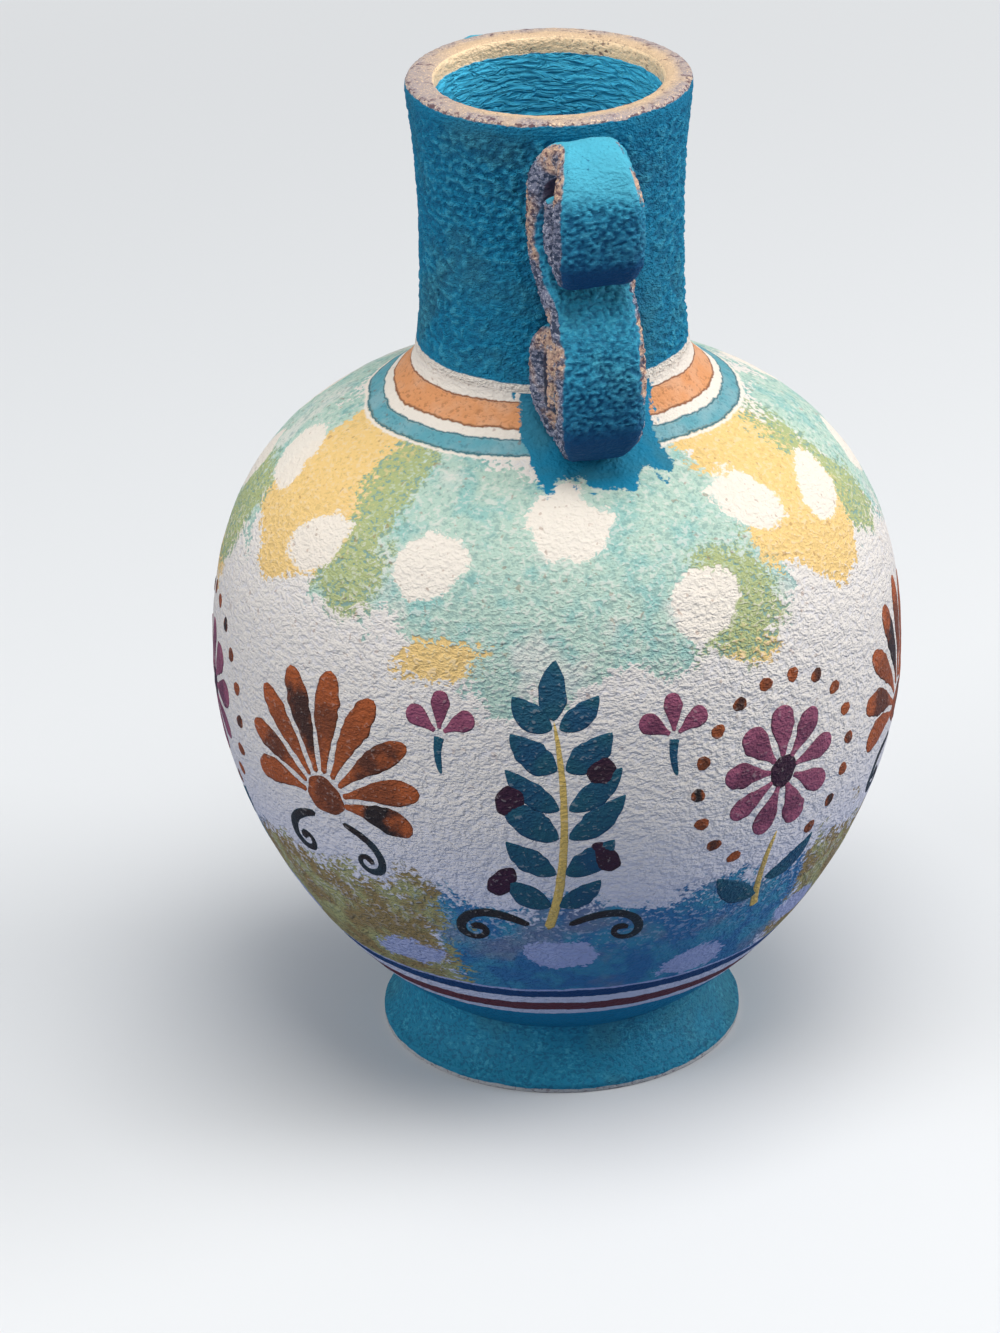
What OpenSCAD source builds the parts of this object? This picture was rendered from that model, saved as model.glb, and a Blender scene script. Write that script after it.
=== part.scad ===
// Amphora vase with two S-scroll strap handles.
// The foot, body, neck and lip are thrown apart and luted together with slip,
// and each handle is a strap of clay bedded on the neck and the shoulder.
// The vase stands on Z = 0 with its axis on Z. The front handle is on -Y.

/* [Foot] */
// Diameter of the foot where it stands
foot_d = 71.8; // [66:0.2:90]
// Height of the foot
foot_h = 11.4; // [9:0.2:20]
// Diameter of the waist where the foot and the body meet
waist_d = 61; // [58:0.5:64]
// Height of the upright edge round the bottom of the foot
foot_edge_h = 1.9; // [1:0.1:4]
// Width of the ring that the foot stands on
foot_ring_w = 7; // [5:0.5:9]
// Diameter of the boss under the body that sits inside the foot
boss_d = 49; // [44:0.5:52]
// Height of that boss
boss_h = 3; // [2:0.5:6]

/* [Body] */
// Diameter of the belly at its widest line
belly_d = 134.6; // [120:0.2:150]
// Height of the widest line above the ground
belly_z = 79.4; // [70:0.2:95]
// Height of the dome's crown above the widest line
dome_h = 59.8; // [52:0.2:70]
// Squareness of the dome, where 2 is an ellipse
dome_square = 2.6; // [2:0.05:3]
// Squareness of the bowl under the widest line
bowl_square = 1.75; // [1.5:0.05:2.2]
// Diameter where the dome turns into the hollow curve below the neck
shoulder_d = 78; // [68:0.5:90]
// Height of the collar's top above the dome's crown
collar_rise = 6; // [4:0.2:12]
// Outer diameter of the collar
collar_d = 52.4; // [50:0.2:56]
// Thickness of the body's wall
wall = 5; // [4:0.25:7]
// Thickness of the body's floor
floor_t = 6; // [4:0.5:9]

/* [Neck and lip] */
// Diameter of the mouth and of the neck's bore
bore_d = 43; // [38:0.2:43.4]
// Outer diameter of the neck at its narrowest
neck_d = 49.8; // [48:0.2:52]
// Outer diameter of the neck under the lip
mouth_d = 53.8; // [50:0.2:60]
// Height of the neck between the collar and the lip
neck_h = 50.2; // [46:0.2:66]
// Wall of the spigot under the neck
spigot_wall = 2; // [1.5:0.1:2.2]
// Length of the spigot that sits in the collar
spigot_h = 4; // [3:0.5:6]
// Outer diameter of the lip
lip_d = 54; // [51:0.2:62]
// Height of the rounded lip
lip_h = 2.4; // [2:0.2:5]

/* [Handles] */
// Width of the strap
strap_w = 16.6; // [12:0.2:22]
// Thickness of the strap
strap_t = 6.4; // [4:0.2:6.6]
// Thickness of the strap at its curled ends
tip_t = 4.6; // [3:0.2:5]
// Radius of the strap's rounded edges
edge_r = 3; // [0.5:0.1:3.2]
// Depth of each scroll from the neck outwards
scroll_depth = 22; // [20:0.5:26]
// Height of the top scroll, from its crown to the middle of the S
top_scroll_h = 31.6; // [28:0.2:33]
// Drop from the top of the lip to the crown of the front handle
front_drop = 1; // [0:0.1:6]
// Drop from the top of the lip to the crown of the back handle
back_drop = 4; // [0:0.1:6]
// Turn of the back handle about the vase from the front one, in degrees
back_turn = 185; // [170:1:190]
// Height of the bottom scroll over the dome's own curve
handle_seat = 1; // [0:0.1:2]
// Depth to which the flat strap is pressed against the round neck
handle_press = 1.4; // [0.6:0.1:2]
// Spread of each edge of the strap where it is pressed on
press_spread = 2.2; // [0:0.1:2.6]

/* [Joints] */
// Thickness of the slip in each luted joint
slip_t = 0.6; // [0.4:0.1:1]

/* [Hidden] */
// Radii
foot_r = foot_d / 2;
waist_r = waist_d / 2;
boss_r = boss_d / 2;
foot_bore_r = boss_r + slip_t;
foot_inner_r = foot_r - foot_ring_w;
belly_r = belly_d / 2;
shoulder_r = shoulder_d / 2;
collar_r = collar_d / 2;
bore_r = bore_d / 2;
neck_r = neck_d / 2;
mouth_r = mouth_d / 2;
lip_r = lip_d / 2;
spigot_r = bore_r + spigot_wall;
gallery_r = spigot_r + slip_t;

// Heights, from the ground up
base_z = foot_h + slip_t;
boss_z = base_z - boss_h;
floor_z = base_z + floor_t;
collar_z = belly_z + dome_h + collar_rise;
gallery_z = collar_z - spigot_h;
neck_z = collar_z + slip_t;
neck_top_z = neck_z + neck_h;
lip_z = neck_top_z + slip_t;
top_z = lip_z + lip_h;

// Steps along the curves of the outline
outline_steps = 24;
cove_steps = 10;
neck_steps = 16;
// Slack that keeps a faceted patch of slip off the round wall behind it
patch_slack = slip_t / 20;
// Powers of the flare at the two ends of the neck
collar_flare = 8;
mouth_flare = 4;
// Squareness of the lip's bead
lip_square = 4.5;
// Depth of the bowl's curve that brings it to the waist
bowl_h = (belly_z - base_z) / pow(1 - pow(waist_r / belly_r, bowl_square), 1 / bowl_square);

// The S of a handle: stretches from its middle to one end, each as its length, its turn in degrees
// and the share of the strap's width that is pinched off half-way along it
scroll_heading = 160;
scroll_stretches = [
    [16.4, -70, 0], [7, -6, 0], [25, -168, 0.28],
    [7.5, -8, 0], [14.2, -176, 0.14], [8.5, -4, 0]
];
stretch_steps = 8;
corner_steps = 3;
// Share of the path at which the strap starts to thin
taper_start = 0.5;
// Least flat left through the strap's thickness between its rounded edges
edge_flat = tip_t / 20;
// Distance of the S from the vase's axis, and the height of its lowest point
handle_u = neck_r - handle_press + scroll_depth / 2;
seat_z = belly_z + rise(handle_u, belly_r, dome_h, dome_square) + handle_seat;

TEAL = "#1f7fa6";
BRONZE = "#d9b48a";
CREAM = "#ddd6cc";
SLIP = "#c8b8a6";

// Height above its middle of an outline with the given half width, height and squareness
function rise(r, half, h, square) = h * pow(1 - pow(r / half, square), 1 / square);
// Half width of that outline at a height from its middle
function reach(z, half, h, square) = half * pow(1 - pow(z / h, square), 1 / square);

// Angle at which a squared curve has come in to a share of its half width
function curve_angle(share, square) = acos(pow(share, square / 2));
function curve_point(a, half, h, square) =
    [half * pow(cos(a), 2 / square), h * pow(sin(a), 2 / square)];

// Quarter outline from the widest line in to radius r, upwards or downwards
function quarter(r, half, h, square, up) =
    [for (i = [0:outline_steps])
        let (p = curve_point(i / outline_steps * curve_angle(r / half, square), half, h, square))
        [p[0], belly_z + up * p[1]]];

function backwards(points) = [for (i = [len(points) - 1:-1:0]) points[i]];
function without_first(points) = [for (i = [1:len(points) - 1]) points[i]];

function bezier(a, b, c, d, t) =
    pow(1 - t, 3) * a + 3 * pow(1 - t, 2) * t * b + 3 * (1 - t) * t * t * c + pow(t, 3) * d;

// Hollow curve from the end of the dome up to the collar
function cove() =
    let (
        start = [shoulder_r, belly_z + rise(shoulder_r, belly_r, dome_h, dome_square)],
        line = dome_line(),
        last_step = line[outline_steps] - line[outline_steps - 1],
        slope = last_step / norm(last_step),
        run = (shoulder_r - collar_r) / 2
    )
    [for (i = [0:cove_steps])
        bezier(
            start,
            start + run * slope,
            [collar_r, (start[1] + 2 * collar_z) / 3],
            [collar_r, collar_z],
            i / cove_steps
        )];

function bowl_line() = backwards(quarter(waist_r, belly_r, bowl_h, bowl_square, -1));
function dome_line() = quarter(shoulder_r, belly_r, dome_h, dome_square, 1);
function neck_line() =
    [for (i = [0:neck_steps])
        let (s = i / neck_steps)
        [neck_r + (collar_r - neck_r) * pow(1 - s, collar_flare) + (mouth_r - neck_r) * pow(s, mouth_flare),
         neck_z + neck_h * s]];

// A rising outline moved outwards along its normals
function grown(points, g) =
    [for (i = [0:len(points) - 1])
        let (d = points[min(i + 1, len(points) - 1)] - points[max(i - 1, 0)])
        points[i] + g * [d[1], -d[0]] / norm(d)];

module turned(points) {
    rotate_extrude($fn = 128) polygon(points);
}

// Solid that fills the vessel from the widest line to the lip, grown by g
module vessel_core(g) {
    line = grown(concat(dome_line(), without_first(cove()), neck_line()), g);
    turned(concat([[0, belly_z]], line, [[0, neck_top_z]]));
}

module foot() {
    knee = [(foot_r + waist_r) / 2, foot_edge_h + (foot_h - foot_edge_h) / 8];
    upright = [waist_r, foot_edge_h + (foot_h - foot_edge_h) / 2];
    flare = [for (i = [0:cove_steps])
        bezier([foot_r, foot_edge_h], knee, upright, [waist_r, foot_h], i / cove_steps)];
    color(TEAL)
        turned(concat(
            [[foot_inner_r, 0], [foot_r, 0]],
            flare,
            [[foot_bore_r, foot_h], [foot_bore_r, boss_z]]
        ));
}

module foot_slip_ring() {
    color(SLIP)
        turned([
            [boss_r, boss_z],
            [foot_bore_r, boss_z],
            [foot_bore_r, foot_h],
            [waist_r, foot_h],
            [waist_r, base_z],
            [boss_r, base_z]
        ]);
}

module body() {
    inner_r = belly_r - wall;
    inner_bowl_h = bowl_h - wall;
    floor_r = reach(belly_z - floor_z, inner_r, inner_bowl_h, bowl_square);
    inner_dome = backwards(quarter(bore_r, inner_r, dome_h - wall, dome_square, 1));
    inner_bowl = quarter(floor_r, inner_r, inner_bowl_h, bowl_square, -1);
    color(CREAM)
        turned(concat(
            [[0, boss_z], [boss_r, boss_z], [boss_r, base_z]],
            bowl_line(),
            without_first(dome_line()),
            without_first(cove()),
            [[gallery_r, collar_z], [gallery_r, gallery_z], [bore_r, gallery_z]],
            inner_dome,
            without_first(inner_bowl),
            [[0, floor_z]]
        ));
}

module neck_slip_ring() {
    color(SLIP)
        turned([
            [bore_r, gallery_z],
            [gallery_r, gallery_z],
            [gallery_r, collar_z],
            [collar_r, collar_z],
            [collar_r, neck_z],
            [spigot_r, neck_z],
            [spigot_r, gallery_z + slip_t],
            [bore_r, gallery_z + slip_t]
        ]);
}

module neck() {
    color(TEAL)
        turned(concat(
            [[bore_r, gallery_z + slip_t], [spigot_r, gallery_z + slip_t], [spigot_r, neck_z]],
            neck_line(),
            [[bore_r, neck_top_z]]
        ));
}

module lip_slip_ring() {
    color(SLIP)
        turned([
            [bore_r, neck_top_z],
            [mouth_r, neck_top_z],
            [mouth_r, lip_z],
            [bore_r, lip_z]
        ]);
}

module lip() {
    middle_r = (lip_r + bore_r) / 2;
    half_w = (lip_r - bore_r) / 2;
    outer = [for (i = [0:cove_steps]) curve_point(90 * i / cove_steps, half_w, lip_h, lip_square)];
    color(BRONZE)
        turned(concat(
            [for (p = outer) [middle_r + p[0], lip_z + p[1]]],
            [for (p = without_first(backwards(outer))) [middle_r - p[0], lip_z + p[1]]]
        ));
}

// Points of half an S, walked from its middle with an even turn along each stretch
function walk(place, heading, stretch, step) =
    stretch == len(scroll_stretches) ? [place] :
    let (
        part = scroll_stretches[stretch] / stretch_steps,
        ahead = heading + part[1] / 2,
        next = place + part[0] * [cos(ahead), sin(ahead)],
        last = step == stretch_steps - 1
    )
    concat([place], walk(next, heading + part[1], last ? stretch + 1 : stretch, last ? 0 : step + 1));

// The whole S, from its bottom end to its top end, as outward and upward places from its middle
function scroll_path(bottom_scroll_h) =
    let (
        half = walk([0, 0], scroll_heading, 0, 0),
        across = [for (p = half) p[0]],
        peak = max([for (p = half) p[1]]),
        wide = (scroll_depth - strap_t) / (max(across) - min(across)),
        up = (top_scroll_h - strap_t / 2) / peak,
        down = (bottom_scroll_h - strap_t / 2) / peak
    )
    concat(
        [for (p = backwards(half)) [-p[0] * wide, -p[1] * down]],
        [for (p = without_first(half)) [p[0] * wide, p[1] * up]]
    );

// Share of the strap's width that is pinched off at each place of the S
function pinches() =
    let (half = concat(
        [for (part = scroll_stretches) for (step = [0:stretch_steps - 1])
            part[2] * pow(sin(180 * step / stretch_steps), 2)],
        [0]
    ))
    concat(backwards(half), without_first(half));

// Rounded section of the strap: across its width and through its thickness
function strap_section(w, t) =
    let (r = min(edge_r, (t - edge_flat) / 2))
    [for (k = [0:3])
        let (
            side = (k == 0 || k == 3) ? 1 : -1,
            face = k < 2 ? 1 : -1
        )
        for (j = [0:corner_steps])
            let (a = 90 * k + 90 * j / corner_steps)
            [side * (w / 2 - r) + r * cos(a), face * (t / 2 - r) + r * sin(a)]];

// One S-shaped strap on the -Y side of the vase, with its crown below the lip by drop
module strap(drop) {
    middle_z = top_z - drop - top_scroll_h;
    path = scroll_path(middle_z - seat_z);
    pinch = pinches();
    n = len(path);
    rings = [for (i = [0:n - 1])
        let (
            along = path[min(i + 1, n - 1)] - path[max(i - 1, 0)],
            normal = [-along[1], along[0]] / norm(along),
            end = abs(2 * i / (n - 1) - 1),
            t = strap_t - (strap_t - tip_t) * max(0, end - taper_start) / (1 - taper_start),
            spread = 2 * press_spread * max(0, -path[i][0]) / (scroll_depth / 2),
            w = (strap_w + spread) * (1 - pinch[i])
        )
        [for (q = strap_section(w, t))
            let (p = path[i] + q[1] * normal)
            [q[0], -handle_u - p[0], middle_z + p[1]]]];
    m = len(rings[0]);
    skin = [for (i = [0:n - 2])
        for (j = [0:m - 1])
            let (
                a = i * m + j,
                b = i * m + (j + 1) % m
            )
            each [[a, b, b + m], [a, b + m, a + m]]];
    start_cap = [for (j = [1:m - 2]) [0, j + 1, j]];
    end_cap = [for (j = [1:m - 2]) [(n - 1) * m, (n - 1) * m + j, (n - 1) * m + j + 1]];
    polyhedron([for (ring = rings) each ring], concat(skin, start_cap, end_cap));
}

// Thin layer of slip on the vessel, above or below the collar
module slip_layer(above) {
    intersection() {
        difference() {
            vessel_core(slip_t);
            vessel_core(patch_slack);
        }
        translate([0, 0, above ? neck_z : neck_z - top_z])
            cylinder(h = top_z, r = belly_r + wall);
    }
}

module handle(turn, drop) {
    color(TEAL)
        rotate([0, 0, turn])
            difference() {
                strap(drop);
                vessel_core(slip_t);
            }
}

module handle_slip(turn, drop, above) {
    color(SLIP)
        rotate([0, 0, turn])
            intersection() {
                strap(drop);
                slip_layer(above);
            }
}

module front_handle() {
    handle(0, front_drop);
}

module back_handle() {
    handle(back_turn, back_drop);
}

module front_handle_neck_slip() {
    handle_slip(0, front_drop, true);
}

module front_handle_shoulder_slip() {
    handle_slip(0, front_drop, false);
}

module back_handle_neck_slip() {
    handle_slip(back_turn, back_drop, true);
}

module back_handle_shoulder_slip() {
    handle_slip(back_turn, back_drop, false);
}

foot();
foot_slip_ring();
body();
neck_slip_ring();
neck();
lip_slip_ring();
lip();
front_handle();
front_handle_neck_slip();
front_handle_shoulder_slip();
back_handle();
back_handle_neck_slip();
back_handle_shoulder_slip();
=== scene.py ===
import math
from types import SimpleNamespace

import bpy
import numpy as np
from bpy.props import FloatProperty, FloatVectorProperty, IntProperty, PointerProperty
from bpy.types import Operator, Panel, PropertyGroup
from mathutils import Matrix, Vector


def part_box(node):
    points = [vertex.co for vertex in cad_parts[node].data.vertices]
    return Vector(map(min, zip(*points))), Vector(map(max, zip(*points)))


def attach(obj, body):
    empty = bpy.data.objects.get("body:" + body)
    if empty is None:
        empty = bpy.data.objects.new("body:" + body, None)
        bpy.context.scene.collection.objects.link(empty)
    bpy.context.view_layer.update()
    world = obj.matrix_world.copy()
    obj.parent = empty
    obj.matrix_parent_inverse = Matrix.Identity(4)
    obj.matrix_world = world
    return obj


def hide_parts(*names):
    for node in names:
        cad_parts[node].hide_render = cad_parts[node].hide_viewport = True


bl_info = {
    "name": "Painted Amphora",
    "version": (1, 0, 0),
    "blender": (4, 5, 0),
    "location": "View3D > Sidebar > Amphora",
    "description": "Dresses the packed clay amphora with rough painted clay and brushed ornament",
    "category": "Add Mesh",
}

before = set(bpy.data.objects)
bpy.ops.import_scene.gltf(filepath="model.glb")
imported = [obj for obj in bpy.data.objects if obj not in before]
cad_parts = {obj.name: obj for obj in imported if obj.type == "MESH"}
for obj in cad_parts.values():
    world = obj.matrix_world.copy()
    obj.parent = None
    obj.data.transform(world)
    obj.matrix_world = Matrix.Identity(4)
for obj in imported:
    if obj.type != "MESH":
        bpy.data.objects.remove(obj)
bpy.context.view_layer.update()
FOOT_BOX, BODY_BOX, NECK_BOX, LIP_BOX = (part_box(n) for n in ("foot", "body", "neck", "lip"))
HANDLE_TURNS = {"front_handle": 0, "back_handle": 185}
HANDLE_BOXES = {n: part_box(n) for n in HANDLE_TURNS}
MM = 0.001
TURN = 2 * math.pi


# Properties

def length(name, description, millimetres):
    """A length, kept in metres."""
    return FloatProperty(name=name, description=description, default=millimetres * MM,
                         precision=5, unit="LENGTH", subtype="DISTANCE")


def paint(name, description, code):
    """A paint's colour from its sRGB code, kept as the linear values that shaders work in."""
    part = np.array([int(code[i:i + 2], 16) / 255 for i in (0, 2, 4)])
    value = np.where(part <= 0.04045, part / 12.92, ((part + 0.055) / 1.055) ** 2.4)
    return FloatVectorProperty(name=name, description=description, default=value.tolist(),
                               size=3, min=0, max=1, subtype="COLOR")


class AmphoraSizes(PropertyGroup):
    """Sizes of the dressed vase"""
    foot_edge: length("Foot edge", "Height of the upright edge round the foot", 1.9)
    bare_edge: length("Bare edge", "Height of the unpainted clay round the foot", 0.9)
    foot_ring: length("Foot ring", "Width of the ring that the foot stands on", 7)
    foot_bore: length("Foot bore", "Radius of the hole in the foot", 25.1)
    waist: length("Waist", "Radius where the foot and the body meet", 30.5)
    boss: length("Boss", "Radius of the boss under the body", 24.5)
    belly_height: length("Belly height", "Height of the widest line", 79.4)
    dome_rise: length("Dome rise", "Height of the dome over the widest line", 59.8)
    shoulder: length("Shoulder", "Radius where the dome turns up to the collar", 39)
    collar: length("Collar", "Outer radius of the collar", 26.2)
    wall: length("Wall", "Thickness of the body's wall", 5)
    floor: length("Floor", "Thickness of the body's floor", 6)
    bore: length("Bore", "Radius of the mouth", 21.5)
    neck: length("Neck", "Outer radius of the neck at its narrowest", 24.9)
    spigot: length("Spigot", "Outer radius of the spigot under the neck", 23.5)
    slip: length("Slip", "Thickness of the slip in the joints", 0.6)
    strap_width: length("Strap width", "Width of the handle straps", 16.6)
    strap_thickness: length("Strap thickness", "Thickness of the handle straps", 6.4)
    strap_tip: length("Strap tip", "Thickness of the straps' curled ends", 4.6)
    strap_edge: length("Strap edge", "Radius of the straps' rounded edges", 3)
    strap_spread: length("Strap spread", "Spread of each edge where a strap is pressed on", 2.2)
    scroll_depth: length("Scroll depth", "Depth of each scroll from the neck", 22)
    scroll_height: length("Scroll height", "Height of the upper scroll", 31.6)
    strap_press: length("Strap press", "Depth to which a strap is pressed against the neck", 1.4)
    strap_seat: length("Strap seat", "Height of a strap's bottom scroll over the dome", 1)
    lump: length("Lump depth", "Depth of the broad lumps in the clay", 0.16)
    wrinkle: length("Wrinkle depth", "Depth of the wrinkles on the neck and handles", 0.5)
    stucco: length("Stucco depth", "Depth of the fine stucco in the shaders", 0.24)
    stroke: length("Stroke height", "Height of the brush strokes over the clay", 0.12)
    columns: IntProperty(name="Columns", description="Faces round the body",
                         default=480, min=48)


class AmphoraColours(PropertyGroup):
    """Paints of the dressed vase"""
    cream: paint("Cream", "Ground of the body", "E8DFD5")
    # cream_shade: bluish painted shade on the ground low on the body and in the stucco's hollows; the
    # same colour draws the real pale lines above the foot
    cream_shade: paint("Cream shade", "Ground low on the body, and pale lines above the foot", "D1D1DF")
    teal: paint("Teal", "Neck, handles and foot", "1280A4")
    # Painted shade: a deeper teal in the hollows and grooves of the teal coat
    teal_hollow_shade: paint("Deep teal", "Hollows of the teal coat", "084E75")
    # Painted light: lighter teal on the handles' crowns and fronts and on ridges of the teal coat
    teal_painted_light: paint("Light teal", "Crowns and rubbed places of the teal coat", "55B9CF")
    # Painted shade under the handles' scrolls
    teal_underside_shade: paint("Dark teal", "Undersides of the handles", "08436F")
    teal_grey: paint("Grey teal", "Thin places of the teal coat", "3A7886")
    # Painted light: the lighter teal inside the neck stands in for light falling into the mouth
    bore: paint("Bore", "Inside of the neck", "50CDF2")
    slate: paint("Slate", "Worn sides of the handles", "7E8093")
    # slate_light: pale grains on the handles' sides, lightened as painted glints
    slate_light: paint("Slate fleck", "Pale grains on those sides", "D5D3DA")
    slate_dark: paint("Slate pit", "Pits in those sides", "2B3A50")
    bronze: paint("Bronze", "Lip", "D6B795")
    # mauve: tarnish on the lip's outside, partly a painted reflection, and painted shade on its -X side
    mauve: paint("Mauve", "Tarnish on the lip", "A3979A")
    copper: paint("Copper", "Patches on the sides of the handles", "C7A28C")
    # bronze_light: pale flecks in the bronze, partly painted glints, and painted light on the gilt inside
    # the mouth
    bronze_light: paint("Bronze fleck", "Bright flecks in the bronze", "FFDDB2")
    # bronze_dark: real dark grains in the bronze; inside the scrolls and in the hollows of the foot's
    # bare clay it is painted shade
    bronze_dark: paint("Bronze shade", "Grains in the bronze, and the insides of scrolls", "5E4048")
    clay: paint("Clay", "Bare clay", "B4B4B4")
    orange: paint("Orange band", "Broad band under the neck", "E19A66")
    # sienna: its lines are real paint; in the orange band's hollows it is painted shade
    sienna: paint("Sienna", "Lines along the orange band", "8F5A38")
    # band_dark: its lines are real paint; in the clouds' and teal band's hollows it is painted shade
    band_dark: paint("Dark band", "Lines along the teal band, and pits in the clouds", "3B6F78")
    band_teal: paint("Teal band", "Lower band under the neck", "62A3AE")
    cloud_teal: paint("Teal cloud", "Sponged clouds on the shoulder", "B6CEBD")
    cloud_blue: paint("Blue cloud", "Bluer places in those clouds", "97C2B8")
    ochre: paint("Ochre", "Ochre clouds on the shoulder", "F0C983")
    olive: paint("Olive", "Where the clouds meet", "AFB77F")
    dab: paint("Dab", "Cream dabs on the clouds", "F0E4D5")
    plum: paint("Plum", "Rosettes", "965068")
    deep_blue: paint("Deep blue", "Wash low on the body", "34719F")
    deep_teal: paint("Wash teal", "Greener places in that wash", "3E8AA8")
    brown: paint("Brown", "Ochre-brown wash low on the body", "927C50")
    lilac: paint("Lilac", "Lilac dabs and a line low on the body", "A6AED2")
    navy: paint("Navy", "Dark line above the foot", "16406E")
    maroon: paint("Maroon", "Red-brown line above the foot", "6A363C")
    rust: paint("Rust", "Palmettes and dots", "A9562B")
    soot: paint("Soot", "Tendrils", "2B2220")
    leaf: paint("Leaf", "Olive leaves", "1F5566")
    stem: paint("Stem", "Stems of the sprigs", "D9B765")
    aubergine: paint("Aubergine", "Olives and the hearts of rosettes", "3C1B33")
    floor: paint("Floor", "Studio floor", "DEDEDE")


# Noise

CORNERS = np.array([[i, j, k] for i in (0, 1) for j in (0, 1) for k in (0, 1)])


def lattice(cell, seed):
    """Repeatable number from -1 to 1 for each whole-number cell, mixed from its three indices."""
    n = (cell[..., 0] * 73856093) ^ (cell[..., 1] * 19349663) ^ (cell[..., 2] * 83492791)
    n = (n ^ (seed * 2654435761)) & 0x7FFFFFFF
    n = (n ^ (n >> 15)) * 0x2C1B3C6D & 0x7FFFFFFF
    n = (n ^ (n >> 12)) * 0x297A2D39 & 0x7FFFFFFF
    return ((n ^ (n >> 15)) & 0xFFFF) / 32767.5 - 1


def noise(points, size, seed):
    """Gradient noise from about -1 to 1: at each corner of a cell a slope is drawn, and the
    slopes' heights are blended by 6t^5 - 15t^4 + 10t^3 along each axis."""
    place = points / size
    cell = np.floor(place).astype(np.int64)
    part = place - cell
    fade = part ** 3 * (part * (6 * part - 15) + 10)
    total = np.zeros(place.shape[:-1])
    for corner in CORNERS:
        slope = np.stack([lattice(cell + corner, seed + k) for k in (1, 2, 3)], -1)
        weight = np.where(corner, fade, 1 - fade).prod(-1)
        total += weight * (slope * (part - corner)).sum(-1)
    return 1.5 * total


def smooth(value, low, high):
    """0 below low, 1 above high and 3t^2 - 2t^3 between."""
    t = np.clip((value - low) / (high - low), 0, 1)
    return t * t * (3 - 2 * t)


# Outlines

def even_line(points, count):
    """Count places at even steps along a line of points."""
    points = np.asarray(points, float)
    run = np.concatenate([[0], np.cumsum(np.linalg.norm(np.diff(points, axis=0), axis=1))])
    at = np.linspace(0, run[-1], count)
    return np.stack([np.interp(at, run, points[:, k]) for k in range(points.shape[1])], 1)


def headings(line):
    """Steps of length 1 along a line of points."""
    step = np.gradient(line, axis=0)
    return step / np.maximum(np.linalg.norm(step, axis=1), 1e-12)[:, None]


def squared_quarter(half, rise, square, inner, steps=900):
    """Quarter of a squared ellipse from its widest point in to radius inner:
    r = half cos(a)^(2/square), z = rise sin(a)^(2/square)."""
    a = np.linspace(0, math.acos((inner / half) ** (square / 2)), steps)
    return np.stack([half * np.cos(a) ** (2 / square), rise * np.sin(a) ** (2 / square)], 1)


def bezier(a, b, c, d, steps=200):
    """Cubic curve with end points a and d and handles b and c."""
    t = np.linspace(0, 1, steps)[:, None]
    a, b, c, d = (np.asarray(p, float) for p in (a, b, c, d))
    return (1 - t) ** 3 * a + 3 * (1 - t) ** 2 * t * b + 3 * (1 - t) * t * t * c + t ** 3 * d


def along(*parts):
    """Lines joined end to end, as one array of radius and height."""
    return np.concatenate([np.atleast_2d(np.asarray(p, float)) for p in parts])


# How square the dome, the bowl and the lip are: 2 is an ellipse
DOME_SQUARE, BOWL_SQUARE, LIP_SQUARE = 2.6, 1.75, 4.5


def body_skin(s):
    """The painted outline of the body from the waist to the collar: a squared bowl, a squared dome
    and a hollow cubic curve up to the collar. Gives arc length, radius, height and normal."""
    belly, base, top = BODY_BOX[1].x, FOOT_BOX[1].z + s.slip, BODY_BOX[1].z
    bowl_rise = (s.belly_height - base) / (1 - (s.waist / belly) ** BOWL_SQUARE) ** (1 / BOWL_SQUARE)
    bowl = squared_quarter(belly, -bowl_rise, BOWL_SQUARE, s.waist)[::-1] + [0, s.belly_height]
    dome = squared_quarter(belly, s.dome_rise, DOME_SQUARE, s.shoulder)[1:] + [0, s.belly_height]
    start = dome[-1]
    slope = (dome[-1] - dome[-2]) / np.linalg.norm(dome[-1] - dome[-2])
    cove = bezier(start, start + slope * (s.shoulder - s.collar) / 2,
                  (s.collar, (start[1] + 2 * top) / 3), (s.collar, top))[1:]
    line = even_line(along(bowl, dome, cove), 1200)
    step = headings(line)
    arc = np.linspace(0, np.linalg.norm(np.diff(line, axis=0), axis=1).sum(), len(line))
    return SimpleNamespace(arc=arc, r=line[:, 0], z=line[:, 1], nr=step[:, 1], nz=-step[:, 0],
                           bowl_rise=bowl_rise, belly=belly, base=base, top=top)


def neck_line(s, steps):
    """Outer outline of the neck: r = neck + flares (1 - t)^8 at the collar and t^4 at the mouth."""
    t = np.linspace(0, 1, steps)
    low, high = BODY_BOX[1].z + s.slip, NECK_BOX[1].z
    r = s.neck + (s.collar - s.neck) * (1 - t) ** 8 + (NECK_BOX[1].x - s.neck) * t ** 4
    return np.stack([r, low + (high - low) * t], 1)


# Surfaces

def turned(r, z, angle):
    """Places at radius r and height z, turned by an angle from the front towards +X."""
    return np.stack(np.broadcast_arrays(r * np.sin(angle), -r * np.cos(angle), z), -1)


def grid_faces(rows, columns, close_rows=False):
    """Quads between neighbouring rows of points that each close into a ring."""
    i = np.arange(rows if close_rows else rows - 1)[:, None]
    j = np.arange(columns)[None, :]
    low, high, right = i * columns, (i + 1) % rows * columns, (j + 1) % columns
    return np.stack([low + j, low + right, high + right, high + j], -1).reshape(-1, 4)


def end_fans(rows, columns):
    """Triangles from two extra points, added after the grid, to its first and last rings."""
    j = np.arange(columns)
    right, last, pole = (j + 1) % columns, (rows - 1) * columns, rows * columns
    start = np.stack([np.full(columns, pole), right, j], -1)
    end = np.stack([np.full(columns, pole + 1), last + j, last + right], -1)
    return np.concatenate([start, end])


def ring_normals(grid):
    """Normals of a grid of rings, from the steps round each ring and from ring to ring."""
    across = np.roll(grid, -1, 1) - np.roll(grid, 1, 1)
    normal = np.cross(across, np.gradient(grid, axis=0))
    return normal / np.maximum(np.linalg.norm(normal, axis=-1, keepdims=True), 1e-12)


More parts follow.
